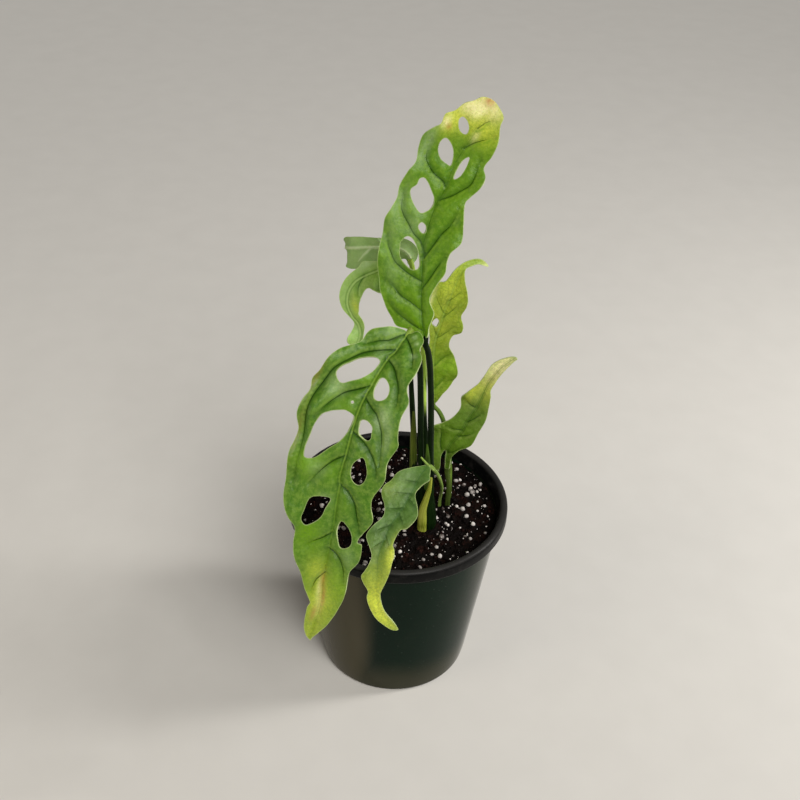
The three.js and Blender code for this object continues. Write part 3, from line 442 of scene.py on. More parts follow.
# The leaves. Outlines, holes and veins lie flat as (along, out): millimetres along the blade
# from the stalk, and out to the right (+) or the left (-), seen on the upper face with the tip
# up. midrib is the blade's middle line and face the way the upper face looks, from stalk to
# tip. rib is the midrib itself, which strays a little from the middle line. fold lifts both
# halves like a V, bulge is the height of the swellings between the veins, and wave gives the
# height, length and start of the margin's waves.
LEAVES = {
    "leaf_top": {
        "fold": 0.12, "bulge": 1.3, "wave": [1.5, 17, 0.4],
        "midrib": [[8.3, -17.5, 201.5], [7, -9, 221], [8, -2, 236], [11.5, 5.5, 251.5], [17, 12.5, 266],
            [23.5, 16, 278.5], [30.5, 17.5, 290.5]],
        "face": [[-0.45, -0.9, 0.35], [-0.15, -0.9, 0.35], [-0.15, -0.9, 0.35], [-0.05, -0.9, 0.3]],
        "rib": [[0, 0], [6, -0.8], [13, -1], [27, -1], [34, -1.5], [40.5, -2], [46, -1.5], [55, -1], [59, 0],
            [63, 0.5], [71.5, 0.2], [78, 0.5], [87, 1], [100, 1]],
        "right": [[0, 1.1], [2, 2], [4.5, 2.5], [7.5, 4], [10.5, 5], [13, 4], [16, 3], [19, 4], [23.5, 6.5],
            [28, 9], [33, 9], [37, 10], [42.5, 13.5], [50.5, 12.5], [59, 10.5], [62.5, 11.5], [68, 14],
            [74, 14], [78, 11.5], [84, 12], [90.5, 11], [96.5, 8], [100, 7], [102, 3.5], [103, -1]],
        "left": [[0, -1.3], [2.5, -5], [3.7, -7.8], [5, -12], [8.5, -14], [12.5, -15.5], [17, -17],
            [20, -18.3], [26, -19.2], [34, -19.5], [39.5, -19.5], [45, -19.5], [49, -18], [53.5, -17],
            [58, -17.5], [63.5, -16], [68, -14.5], [73, -16], [77.5, -16.5], [82, -14], [84.5, -12.5],
            [88.5, -13], [91.5, -10.5], [96, -9], [99, -6.5], [102, -4.5]],
        "holes": [
            [[91, -6.5], [90.5, -4], [88.5, -2], [86, -1.5], [85.5, -3], [86.2, -5], [88, -6.5],
             [89.5, -7.2]],
            [[80.5, -8], [80, -5.5], [78, -3], [75, -1.5], [72, -1], [72, -3], [72.8, -5.8], [75, -8.2],
             [78, -9]],
            [[78.5, 4], [77.5, 4.6], [74, 5], [70, 4.5], [67.7, 3], [68, 2], [72.5, 2], [76, 2.5]],
            [[63.5, -9], [62.5, -7], [60, -4.5], [57.5, -2.5], [54.5, -2], [52, -3.5], [50.5, -6], [53, -9.5],
             [56, -12], [58, -12.5], [60.2, -10.8], [62.5, -10.5]],
            [[47, -4.5], [46, -2.7], [43.8, -2], [42.8, -3], [44, -5], [45.5, -5.5]],
            [[40.5, -9], [39.7, -6.5], [37, -4.5], [33.5, -3], [30.5, -2.3], [28.5, -3], [28, -5.5],
             [30, -8.5], [32.5, -10.5], [36, -11.2], [38.5, -11]],
        ],
        "veins": [
            [[3, -1], [6, -6], [11, -12], [15, -14.5]],
            [[11, -1], [14.5, -5], [17.5, -9.5], [21, -13], [23, -16.5]],
            [[23.5, -1], [26.5, -7], [30, -12], [33.5, -14.5], [36.5, -16.5], [40, -17.5]],
            [[33, -1], [37, -2], [40, -4], [42, -6.8], [45.5, -10], [48.5, -12.8], [52, -14.5],
             [59.5, -15.5]],
            [[63.5, 0], [65, -1.5], [66.5, -6], [68.5, -9], [71, -11.5], [77, -13]],
            [[20, -1], [25, 2.5], [30.5, 5.5], [35, 8]],
            [[33, -1], [38.5, 2], [44, 4.5], [48, 7], [53, 8.5], [57, 9]],
            [[57.5, 0], [60.5, 4], [64, 7], [67.5, 9.5], [72, 10], [80, 9]],
            [[80.5, 0.5], [84.5, 3], [88, 6], [91, 8.5]],
            [[90, 1], [94, 2.5], [97, 5]],
        ],
    },
    "leaf_front": {
        "fold": 0.1, "bulge": 1.6, "wave": [1.8, 21, 0.8],
        "midrib": [[1.2, -21.8, 206.3], [-4, -29, 203.2], [-11.5, -39.5, 193], [-18, -48.5, 180],
            [-23, -56, 164], [-26.5, -61.5, 148], [-28, -66, 131], [-30, -69.5, 114], [-32, -72, 97],
            [-37, -74.5, 76]],
        "face": [[-0.15, -0.6, 0.75], [-0.1, -0.75, 0.6], [-0.05, -0.9, 0.4]],
        "rib": [[0, 0], [6, -1], [11, -1], [15, 0], [24, 0.5], [32, 1], [40, 1], [49, 0.5], [58, 0], [68, 0],
            [73, -1], [88, -1], [94, -0.5], [104, 0], [120, 0.5], [135, 0], [148, 0.3], [153, 0]],
        "right": [[0, 1.2], [1.5, 4], [5.5, 8.5], [9, 12.5], [14.5, 13.5], [20, 18.5], [25, 21], [31, 22.5],
            [35, 24], [39, 22.7], [43, 23.5], [48.5, 24], [54, 22], [59, 22], [62.5, 22.5], [68, 22],
            [74.5, 21.5], [80.5, 21], [87, 18.5], [93, 15.2], [101, 15], [108, 13.5], [116, 10], [124, 7.5],
            [130, 4.5], [134, 5.2], [145, 4], [152.5, 0]],
        "left": [[0, -1.3], [-1.8, -3], [-1.5, -5.5], [1, -8.5], [5, -9.5], [9, -13], [16, -14],
            [22.5, -13.7], [27.5, -17], [34.5, -17], [43.5, -19], [47, -20], [55, -18], [62.5, -19],
            [71.5, -16], [76, -16], [84.5, -17.5], [94.5, -12], [96, -14], [103, -14], [110.5, -10.5],
            [121.5, -10], [128.5, -8.5], [139, -5.5], [150, -1]],
        "holes": [
            [[17.5, 2], [17, 4], [18, 7], [20.5, 10.5], [23.5, 13], [26, 15], [29, 16], [31, 14.5], [32, 12],
             [30, 9], [27, 5.5], [23, 3], [19.5, 2]],
            [[23.5, -1.5], [23, -3.5], [24.5, -6], [27, -7.5], [30, -7.5], [32, -5.5], [32, -3], [29, -1.3],
             [26, -1]],
            [[42, 8.5], [41, 5.5], [42, 2], [45, 1.5], [49.5, 2.2], [53.5, 4], [57, 7], [62, 11],
             [63.5, 13.5], [63.5, 16], [60, 17], [54.5, 16.5], [51, 16], [46, 14.5], [43.5, 11.5]],
            [[42.5, -1.5], [41.5, -4], [43, -7], [45.5, -7.7], [48, -8], [49.5, -6.5], [49, -4], [48, -2.5],
             [45, -1.7]],
            [[57, -6.5], [56.7, -8], [59, -9.7], [63, -11], [66.5, -10.5], [68.5, -8.5], [67.5, -6],
             [64.5, -4.2], [60.5, -4.2]],
            [[79.5, 10], [78, 6.5], [77.7, 2.5], [79, 1.5], [82.5, 3], [86.5, 4.5], [89.5, 7.5], [91, 11],
             [88, 12.5], [84, 11.5]],
            [[87.5, -4], [88.5, -6.5], [92, -8.7], [95.5, -9.5], [98, -8.5], [99.5, -5.3], [96.5, -3.5],
             [92, -2.5]],
            [[36.4, 4.5], [37, 5.1], [37.6, 4.5], [37, 3.9]],
        ],
        "veins": [
            [[1.5, 0.5], [7.5, 3.5], [10.5, 7.5], [14, 11.5]],
            [[10, -0.5], [14, 5.5], [17.5, 10], [23.5, 14.5], [28, 17.5], [32.5, 19], [40, 20.5],
             [47.5, 20.5], [61, 18.7], [74, 18.5]],
            [[28, 1], [31.5, 5], [35, 9.5], [38.5, 12], [42.5, 14.5], [47.5, 17]],
            [[58.5, 0], [62.5, 4.5], [68, 8.5], [73.5, 11.5]],
            [[94, -0.5], [96.5, 2.5], [98.5, 5.5], [101, 9]],
            [[114, 0], [118.5, 3.5], [124.5, 5]],
            [[2, 0], [5, -4.5], [9, -8.5], [14, -11]],
            [[15, 0], [17, -4], [20, -7], [24, -10], [30.5, -12.5]],
            [[33, 1], [36, -3.5], [38, -7], [42.5, -10.5], [47.5, -12.5], [58, -15]],
            [[48, 0.5], [51.5, -7], [57, -12.5], [63, -15]],
            [[71, -0.7], [73.5, -5], [77.5, -8.5], [82.5, -10], [92, -12]],
            [[101.5, 0], [104.5, -4.5], [110.5, -7.5], [118, -8.5]],
        ],
    },
    "leaf_right": {
        "fold": 0.15, "bulge": 1, "wave": [1.1, 14, 0],
        "midrib": [[14.5, 6, 151], [13.5, 5, 167], [13, 4, 182.5], [14.5, 3.5, 192], [17, 3.5, 203],
            [19.5, 4, 211], [22, 5, 218.5], [24.5, 6.5, 223], [29.5, 9, 224], [34.5, 12, 220]],
        "face": [[0.25, -0.9, 0.3], [0.2, -0.9, 0.35], [0, -0.9, 0.45], [0.2, -0.8, 0.6]],
        "rib": [[0, 0], [88, 0]],
        "right": [[0, 1.1], [5, 4], [10.5, 8.5], [17.5, 10.5], [25.5, 9.5], [33.5, 6.5], [40, 6.5], [44, 9.5],
            [48, 9.5], [52, 7.5], [58, 8], [62, 7], [68.5, 3], [72.5, 1.2], [77, 1.5], [82, 1], [87.5, 0]],
        "left": [[0, -1.1], [6, -2.1], [13, -3], [27.5, -3.5], [34.5, -2.5], [40.5, -4], [48, -6.5],
            [54.5, -7.5], [58, -8], [63.5, -7.5], [65, -5], [67, -4], [71, -3], [74.5, -1.5], [79, -1],
            [84, -1]],
        "holes": [
            [[47.5, -2.5], [45.5, -0.7], [43, -1.5], [44.5, -3.7]],
        ],
        "veins": [
            [[8, 0], [14, 5]],
            [[21.5, 0], [28.5, 7.5]],
            [[37, 0], [41.5, 3.5], [46.5, 6]],
            [[48, 0], [53.5, 3], [59, 5]],
            [[57, 0], [64, 4]],
            [[38.5, 0], [47, -5]],
            [[50.5, 0], [58, -6.5]],
        ],
    },
    "leaf_lower_right": {
        "fold": 0.15, "bulge": 0.9, "wave": [1, 13, 1],
        "midrib": [[22.5, 3, 114.5], [22.5, 1.5, 123], [24.2, 0.5, 130.5], [27.5, -0.5, 138.5],
            [33, -1.5, 154], [38.5, -2.5, 168.5], [42.5, -3, 177], [49.5, -4, 184.5]],
        "face": [[-0.1, -0.9, 0.4], [0, -0.85, 0.5], [0.1, -0.8, 0.6]],
        "rib": [[0, 0], [8.5, -0.3], [13, -1], [18, -1], [22.5, -0.5], [28.5, 0], [36, 0], [43.5, 0.5],
            [57.5, -0.5], [64, 0], [76, -0.3]],
        "right": [[0, 1], [3, 1.5], [10, 2], [17.5, 4.5], [23, 7], [30, 7], [39, 7], [45.5, 5.5], [52, 3.5],
            [55, 2], [61, 2], [67.5, 2], [73.5, 1], [76.5, 0.5]],
        "left": [[0, -0.9], [5, -0.9], [10.5, -1.2], [12.5, -2.1], [9.5, -3], [5, -3], [1, -3.2], [-2, -4],
            [2.5, -6], [9, -7], [15.5, -9], [23.5, -12.5], [27, -10], [32.5, -7], [39.5, -6], [45, -8],
            [50, -6.5], [55, -4.5], [62, -4], [67, -4], [72.5, -2.5], [75, -1.5]],
        "holes": [],
        "veins": [
            [[11, -0.5], [15.5, 3], [19.5, 4.5]],
            [[23, -0.5], [26.5, 3], [30, 5]],
            [[33, 0], [37.5, 2.5], [42, 4]],
            [[12.5, -4], [18, -6.5], [25.5, -9.5]],
            [[27.5, 0], [26.5, -4.5], [26.5, -8]],
            [[42.5, 0], [43.5, -3.5], [45, -6.5]],
        ],
    },
    "leaf_small": {
        "fold": 0.12, "bulge": 0.9, "wave": [0.9, 15, 0],
        "midrib": [[13, -21, 134.5], [9.5, -25, 132], [6, -31, 127.5], [1.5, -37.5, 122], [-3, -43, 117.5],
            [-7.5, -51.5, 109.5], [-8, -56, 103], [-8, -58.5, 96], [-7.5, -60, 88.5], [-5, -60.5, 80.5],
            [-1, -60.5, 75], [2.5, -60, 70]],
        "face": [[-0.2, -0.5, 0.8], [-0.15, -0.6, 0.7], [0, -0.9, 0.4], [0, -0.95, 0.2]],
        "rib": [[0, 0], [89, 0]],
        "right": [[0, 1.1], [2.5, 3], [5, 5.5], [9, 10], [14.5, 11], [17.5, 12], [21.5, 11.5], [27.5, 6.5],
            [30.5, 5], [35.5, 7], [39, 8], [41, 7.5], [45.5, 3.5], [48, 3], [53, 5.5], [56, 7], [62.5, 4],
            [65.5, 4.5], [72.5, 4], [82, 3], [86.5, 2], [89, 0]],
        "left": [[0, -1.1], [3, -3.5], [6, -5], [10.5, -2.5], [14.5, -2], [20, -6.5], [23.5, -8], [29.5, -7],
            [32, -5], [39, -4.5], [41.5, -6], [46, -7], [55, -5], [62.5, -2], [66.5, -1.5], [77.5, -1.5],
            [83.5, -1]],
        "holes": [],
        "veins": [
            [[9, 0], [11, 7.5]],
            [[15, 0], [19, 8.5]],
            [[22.5, 0], [26.5, 5.5]],
            [[31.5, 0], [37.5, 5.5]],
            [[39.5, 0], [44, 3.5]],
            [[17.5, 0], [19.5, -5]],
            [[25.5, 0], [29, -5.5]],
            [[37, 0], [43, -5]],
        ],
    },
    "leaf_back_curled": {
        "fold": 0.2, "bulge": 0.7, "wave": [0.6, 16, 0],
        "midrib": [[-4, 17.8, 212], [-9.5, 18.5, 213.3], [-18.5, 18, 209.5], [-23, 17, 206.5],
            [-25.5, 15.5, 202.5], [-26, 14, 197.5], [-24, 12, 192.5], [-21, 10, 189.5], [-20, 8, 185.5],
            [-21.5, 6, 180.5]],
        "face": [[0.1, -0.85, 0.5], [0, -0.8, 0.6], [-0.3, -0.85, 0.3], [-0.2, -0.9, 0.2], [0.4, -0.85, 0.1]],
        "rib": [[0, 0], [52, 0]],
        "right": [[0, 1.1], [5, 3], [10, 4.5], [14, 6], [17, 4.5], [24, 4], [29, 3.5], [33, 2.5], [38, 1],
            [41, 1.5], [45, 4], [50, 6], [52, 4]],
        "left": [[0, -1.1], [3, -7], [7, -9.5], [11, -10], [14, -8], [17, -5.5], [25.5, -6.5], [32, -6],
            [39, -3.5], [43, -2.5], [46, -1.5], [51, -1]],
        "holes": [],
        "veins": [
            [[6, 0], [12, -8]],
            [[16, 0], [26, -5]],
        ],
    },
    "leaf_back_upper": {
        "fold": 0.05, "bulge": 0.7, "wave": [0.6, 15, 0],
        "midrib": [[1.4, 23.4, 213.5], [0.2, 24, 217.3], [-3, 25, 219.5], [-7.5, 26, 219.5], [-13.5, 27, 219],
            [-20, 28, 218], [-26, 30, 216.5], [-28, 34, 214.5], [-27, 41, 210]],
        "face": [[0, 0.8, -0.6], [0, 0.85, -0.5], [0.1, 0.8, -0.5], [0.5, 0.8, -0.3]],
        "rib": [[0, 0], [45, 0]],
        "right": [[0, 1.1], [3, 2], [6, 5], [10, 7.5], [18, 8.5], [26, 9], [33, 9], [39, 6], [45, 0]],
        "left": [[0, -1.1], [2, -3.2], [5, -5], [9, -5], [16, -4], [22, -4.5], [27.5, -5], [34, -5],
            [40, -4]],
        "holes": [],
        "veins": [
            [[12, 0], [18, 6]],
            [[22, 0], [28, 6]],
            [[14, 0], [19, -4]],
        ],
    },
}

# What each blade looks like: its colours, the depth of the valleys and creases along its veins
# as shares of its bulge, and its tinted parts as along, out, reach along, reach out and strength.
# The pale tinted parts are partly pale tissue and partly painted highlight.
LOOKS = {
    "leaf_top": {
        "skin": leaf_skin("leaf skin top", "#3e6806", "#56830f", "#7ea52b", "#264e04", "#3c670a",
                          rib_wide=0.6, mottle=0.9, creased=0.6),
        "relief": (0.62, 0.35),
        "tints": {
            "yellow": [(99, -3, 10, 14, 1), (88, -10, 6, 4, 0.85), (90, 3, 5, 7, 0.4)],
            "lush": [(6, 0, 14, 9, 0.7), (62, 8, 14, 7, 0.3), (88, 6, 6, 5, 0.7), (60, -15.5, 3, 2, 0.8)],
            "pale_and_highlight": [(76, -13.5, 7, 2, 0.6), (46, -7, 5, 3, 0.4), (48, -15, 12, 4, 0.35),
                        (28, -13, 6, 3, 0.3)],
            "cream": [(100, 0, 4, 6, 1), (96, -7, 3.5, 3.5, 0.9), (86.5, -11, 2.5, 1.5, 0.9),
                      (96, -2.5, 3, 2, 0.6), (87, 2, 2.5, 1.2, 0.5)],
            "brown": [(102, -1, 2, 2.2, 0.9), (85.2, -9.2, 1.3, 1, 0.7)],
        },
    },
    "leaf_front": {
        "skin": leaf_skin("leaf skin front", "#366010", "#4b771b", "#81a23e", "#224408", "#81a13b",
                          rib_wide=0.5, gloss=0.36, mottle=0.85, rib_to=(50, 105)),
        "relief": (0.75, 0.45),
        "tints": {
            "yellow": [(134, 0, 20, 12, 0.35), (112, 4, 6, 4, 0.35), (150, 0, 8, 8, 0.3),
                       (128, 1, 10, 4, 0.4)],
            "lush": [(25.5, 4, 3.5, 9, 0.8), (66, 14, 5, 6, 1), (39, 7, 3, 5, 0.5), (96, 9, 7, 6, 0.9),
                     (66, 3, 5, 3, 0.5), (120, 0, 12, 14, 0.6), (80, -3, 6, 3, 0.4)],
            "pale_and_highlight": [(4, 8, 2, 6, 0.5), (38.5, -10, 5, 3, 0.85), (46, -14.5, 6, 2, 0.6),
                        (34, 13, 4, 4, 0.6), (66.5, 10, 3, 4, 0.35), (19, 22, 6, 2, 0.4), (79, 4, 3, 3, 0.35),
                        (12, 4, 6, 2, 0.35), (1.5, -4.2, 0.9, 0.9, 0.9), (3.5, -6.8, 0.9, 0.9, 0.9),
                        (9, -9, 1.2, 1.6, 0.8), (103, -9, 6, 3, 0.25)],
            "brown": [(30, 23, 12, 1.5, 0.3), (55, 21.5, 10, 1, 0.25), (118, 0.6, 5, 1, 0.6),
                      (127, -0.6, 6, 0.9, 0.7), (136, 2, 4, 1, 0.6)],
            "cream": [(122, 1.6, 5, 1, 0.45), (131, 0.4, 7, 1.4, 0.4)],
        },
    },
    "leaf_right": {
        "skin": leaf_skin("leaf skin right", "#577e0d", "#749219", "#9eb741", "#436806", "#8aa940",
                          rib_wide=0.45, mottle=0.9, creased=0.5, netted=0.3),
        "relief": (0.6, 0.1),
        "tints": {
            "yellow": [(64, 0, 10, 9, 0.6), (45, 0, 14, 9, 0.4)],
            "lush": [(22, 5, 12, 7, 0.7)],
            "cream": [(86, 0, 4, 3, 0.4), (56, -7.5, 7, 1, 0.6)],
        },
    },
    "leaf_lower_right": {
        "skin": leaf_skin("leaf skin lower right", "#456713", "#608126", "#87a047", "#2e4f0c", "#4a7118",
                          rib_wide=0.5),
        "relief": (0.5, 0.2),
        "tints": {
            "yellow": [(57, 1, 9, 9, 0.7), (50, -5, 6, 2, 0.5)],
            "cream": [(69, 0, 10, 6, 1)],
            "lush": [(24, 0, 14, 12, 0.4)],
            "brown": [(62, 0, 5, 1.2, 0.25)],
        },
    },
    "leaf_small": {
        "skin": leaf_skin("leaf skin small", "#3b5b20", "#4e702c", "#6f904c", "#284814", "#3f642b",
                          rib_wide=0.45, gloss=0.42, mottle=0.55, creased=0.3, rib_to=(30, 60)),
        "relief": (0.35, 0.05),
        "tints": {
            "yellow": [(44, -6, 9, 2.6, 0.95), (72, 0, 18, 12, 1), (18, 10, 6, 5, 0.15)],
            "cream": [(80, -3, 14, 1.5, 0.5), (44, -7.5, 12, 1, 0.5)],
            "pale_and_highlight": [(12, 6, 7, 3, 0.35)],
        },
    },
    "leaf_back_curled": {
        "skin": leaf_skin("leaf skin curled", "#659031", "#87af46", "#afce72", "#3a6317", "#aecb78",
                          rib_wide=0.5, mottle=0.7),
        "relief": (0.6, 0.3),
        "tints": {
            "lush": [(6, -2, 8, 8, 0.3)],
            "pale_and_highlight": [(13.5, 4.5, 5, 2.2, 0.95), (47, 2, 5, 5, 0.4), (28, 2, 10, 3, 0.4)],
            "yellow": [(33, -4, 6, 2, 0.6)],
        },
    },
    "leaf_back_upper": {
        "skin": leaf_skin("leaf skin back", "#4f7a2c", "#69903a", "#8ab45a", "#3b6a24", "#5f9038"),
        "relief": (0.6, 0.3),
        "tints": {},
    },
}
UNDERSIDE = leaf_underside("leaf underside", "#a3bf7c", "#7c9f50", "#c8d8a6")
SEAM = leaf_seam("leaf edge", "#cdd9a0", "#8fa860")

# Steps between points: along a blade's outline and veins, around its holes, over its inside,
# and along a stalk
EDGE_STEP = 0.8
HOLE_STEP = 0.6
INNER_STEP = 1.05
STALK_STEP = 1.6
# Thickness of a blade along its midrib, the share of it that the rest has, and how far the
# valleys and the creases reach from a vein
RIB_THICKNESS = 1.5
BLADE_SHARE = 0.38
VALLEY_REACH = 2.6
CREASE_REACH = 0.9


def midrib_frame(leaf, along):
    """The place, direction, side and face of the midrib at each distance along it."""
    path = smooth_curve(leaf["midrib"], per_span=120)
    reach = lengths_along(path)
    share = np.clip(along / reach[-1], 0, 1)
    direction = unit(read_at(share * reach[-1], reach, np.gradient(path, reach, axis=0)))
    point = read_at(share * reach[-1], reach, path)
    point += direction * (along - share * reach[-1])[:, None]
    face = np.array(leaf["face"], float)
    look = read_at(share * (len(face) - 1), np.arange(len(face)), face)
    side = unit(np.cross(direction, look))
    return point, direction, side, np.cross(side, direction)


def hump(distance, reach):
    """1 at a distance of 0, falling softly to about a third at the reach."""
    return np.exp(-(distance / reach) ** 2)


def blade(name, leaf):
    """A leaf blade: the flat outline and holes filled with triangles that follow the veins, laid
    on the curved and waved surface, then given its thickness with a rib under each vein."""
    length = lengths_along(smooth_curve(leaf["midrib"], per_span=120))[-1]
    outline = smooth_curve(leaf["right"] + leaf["left"][::-1], closed=True)
    outline = even_steps(outline, EDGE_STEP, closed=True)
    rims = [even_steps(smooth_curve(hole, closed=True), HOLE_STEP, closed=True) for hole in leaf["holes"]]
    veins = [even_steps(smooth_curve(vein), EDGE_STEP) for vein in leaf["veins"]]
    drawn = smooth_curve(leaf["rib"])
    drawn = drawn[(drawn[:, 0] > 0.4) & (drawn[:, 0] < length - 1.5)]
    midrib = even_steps(drawn, EDGE_STEP)
    broad = max(max(out for _, out in leaf["right"]), max(-out for _, out in leaf["left"]))

    # Rows of inner points, kept clear of every line
    step = INNER_STEP
    grid = np.array([
        (along + draw.uniform(-0.1, 0.1), out + (row % 2) * step / 2 + draw.uniform(-0.1, 0.1))
        for row, along in enumerate(np.arange(-2, length + 4, step * 0.87))
        for out in np.arange(-broad - 4, broad + 4, step)
    ])
    loops = [outline, *rims]
    edges_of = [np.concatenate([loop, loop[:1]]) for loop in loops]
    clear = within(grid, outline)
    for line in [*edges_of, *veins, midrib]:
        clear &= np.abs(gap_to(grid, line)) > step * 0.5
    corners, edges = [], []
    for place, line in enumerate([*loops, *veins, midrib]):
        first = len(corners)
        corners.extend(line.tolist())
        edges.extend((corner - 1, corner) for corner in range(first + 1, len(corners)))
        if place < len(loops):
            edges.append((len(corners) - 1, first))
    corners.extend(grid[clear].tolist())
    spots, _, triangles, *_ = delaunay_2d_cdt([Vector(spot) for spot in corners], edges, [], 0, 1e-4)
    spots = np.array([tuple(spot) for spot in spots])
    triangles = np.array(triangles)
    middles = spots[triangles].mean(axis=1)
    kept = within(middles, outline)
    for rim in rims:
        kept &= ~within(middles, rim)
    used, triangles = np.unique(triangles[kept], return_inverse=True)
    spots, triangles = spots[used], triangles.reshape(-1, 3)

    # Height of each spot over the blade's middle surface
    along, out = spots.T
    across = out - np.interp(along, drawn[:, 0], drawn[:, 1])
    vein_side = gap_to_veins(spots, veins)
    vein_gap = np.abs(vein_side)
    margin = np.min([np.abs(gap_to(spots, edge)) for edge in edges_of], axis=0)
    height, wavelength, start = leaf["wave"]
    valley, crease = LOOKS[name]["relief"]
    crinkle = np.array([0.5 * noise.noise(Vector((a * 0.16, o * 0.16, len(name))))
                        + 0.22 * noise.noise(Vector((a * 0.4, o * 0.4, 3))) for a, o in spots])
    point, _, side, up = midrib_frame(leaf, along)
    phase = along / wavelength * 2 * math.pi + np.where(out > 0, start, start + 2)
    lift = leaf["fold"] * np.abs(across) + height * np.minimum(1, np.abs(out) / broad) ** 2 * np.sin(phase)
    nearest = np.minimum(np.abs(across), vein_gap)
    lift += leaf["bulge"] * (1 - valley * hump(nearest, VALLEY_REACH)
                             - crease * np.exp(-nearest / CREASE_REACH))
    groove = 0.12 * hump(vein_gap, 0.5) + 0.12 * hump(across, 0.5)
    lift += 0.3 + crinkle - groove - 0.35 * hump(margin, 1.1)
    places = point + side * out[:, None] + up * lift[:, None]

    piece = new_piece(name.replace("leaf", "blade"), places, triangles.tolist())
    first, second, third = (places[triangles[:, corner]] for corner in range(3))
    if (np.cross(second - first, third - first) * up[triangles[:, 0]]).sum() < 0:
        piece.data.flip_normals()
    store(piece, "flat", np.column_stack([along, out, np.zeros(len(out))]), "FLOAT_VECTOR")
    store(piece, "rib_gap", np.abs(across))
    store(piece, "vein_gap", vein_gap)
    # Painted highlight: a light line just on the stalk side of each vein
    store(piece, "crease_highlight", hump(vein_side - 0.95, 0.5))
    store(piece, "margin", margin)
    for kind in TINTS:
        share = np.zeros(len(out))
        for at, aside, long, wide, strength in LOOKS[name]["tints"].get(kind, ()):
            share += strength * np.exp(-((along - at) / long) ** 2 - ((out - aside) / wide) ** 2)
        store(piece, kind, np.clip(share, 0, 1))
    for skin in (LOOKS[name]["skin"], UNDERSIDE, SEAM):
        piece.data.materials.append(skin)

    ribs = piece.vertex_groups.new(name="ribs")
    weight = hump(across, 1.1) * (1 - 0.7 * np.clip(along / length, 0, 1))
    weight = np.maximum(weight, 0.3 * hump(vein_gap, 0.7))
    for index, value in enumerate(weight):
        ribs.add([index], float(value), "REPLACE")
    select_only(piece)
    wall = piece.modifiers.new("wall", "SOLIDIFY")
    wall.thickness = RIB_THICKNESS * MM
    wall.offset = -1
    wall.vertex_group = "ribs"
    wall.thickness_vertex_group = BLADE_SHARE
    wall.material_offset = 1
    wall.material_offset_rim = 2
    bpy.ops.object.modifier_apply(modifier="wall")
    bpy.ops.object.shade_smooth_by_angle(angle=math.radians(50))
    return piece


def tube(name, node, skin, radii, points, young_and_lit=(0,)):
    """A tapered stalk: a curve through the points with a round section, made a mesh. young_and_lit
    says how pale its skin is from the soil up: young skin at a stalk's end, and painted light on
    a lit stretch of a back stalk."""
    path = even_steps(smooth_curve(points), STALK_STEP)
    share = np.linspace(0, len(radii) - 1, len(path))
    wide = np.interp(share, np.arange(len(radii)), radii)
    bpy.ops.object.select_all(action="DESELECT")
    bpy.ops.curve.primitive_nurbs_path_add(location=(0, 0, 0))
    piece = bpy.context.object
    piece.name = name
    curve = piece.data
    curve.splines.clear()
    spline = curve.splines.new("POLY")
    spline.points.add(len(path) - 1)
    for point, spot, radius in zip(spline.points, path, wide):
        point.co = (*(spot * MM), 1)
        point.radius = radius
    curve.bevel_depth = MM
    curve.bevel_resolution = 5
    curve.use_fill_caps = True
    bpy.ops.object.convert(target="MESH")
    piece = bpy.context.object
    piece.data.name = name
    # Five shallow ridges run along the skin, which swells and thins a little
    corners = np.array([tuple(corner.co) for corner in piece.data.vertices]) / MM
    nearest = np.array([np.argmin(((path - corner) ** 2).sum(axis=1)) for corner in corners])
    away = corners - path[nearest]
    turn = np.arctan2(away[:, 1], away[:, 0])
    ridges = 1 + 0.05 * np.sin(turn * 5 + nearest * 0.04) + 0.03 * np.sin(nearest * 0.23)
    corners = path[nearest] + away * ridges[:, None]
    piece.data.vertices.foreach_set("co", (corners * MM).ravel())
    flat = np.column_stack([nearest * STALK_STEP, turn * 2, np.zeros(len(turn))])
    store(piece, "flat", flat, "FLOAT_VECTOR")
    store(piece, "young_and_lit", np.interp(nearest / len(path) * (len(young_and_lit) - 1), np.arange(len(young_and_lit)), young_and_lit))
    piece.data.materials.clear()
    piece.data.materials.append(skin)
    bpy.ops.object.shade_smooth_by_angle(angle=math.radians(50))
    settle(piece, "stem_green" if node == "main_stem" else "stalk_green", node)


def pulled_up(name, rings, sides):
    """A round piece pulled up ring by ring from a disc, in edit mode; a ring is radius and height."""
    radius, height = rings[0]
    bpy.ops.object.select_all(action="DESELECT")
    bpy.ops.mesh.primitive_circle_add(vertices=sides, radius=radius * MM, fill_type="NGON",
                                      location=(0, 0, height * MM))
    piece = bpy.context.object
    piece.name = name
    bpy.ops.object.mode_set(mode="EDIT")
    bpy.ops.mesh.select_all(action="SELECT")
    for next_radius, next_height in rings[1:]:
        rise = (0, 0, (next_height - height) * MM)
        bpy.ops.mesh.extrude_region_move(TRANSFORM_OT_translate={"value": rise})
        grow = next_radius / radius
        bpy.ops.transform.resize(value=(grow, grow, 1), center_override=(0, 0, next_height * MM))
        radius, height = next_radius, next_height
    bpy.ops.mesh.select_all(action="SELECT")
    bpy.ops.mesh.normals_make_consistent(inside=False)
    bpy.ops.object.mode_set(mode="OBJECT")
    bpy.ops.object.transform_apply(location=True, rotation=True, scale=True)
    return piece


def arc(centre, reach, first, last, steps):
    """Rings of a quarter or half round, as radius and height; angles in degrees from outwards."""
    angles = np.radians(np.linspace(first, last, steps))
    return [(centre[0] + reach * math.cos(a), centre[1] + reach * math.sin(a)) for a in angles]


def inner_radius(height):
    return BASE_RADIUS - WALL + (NECK_RADIUS - BASE_RADIUS) / NECK_HEIGHT * height


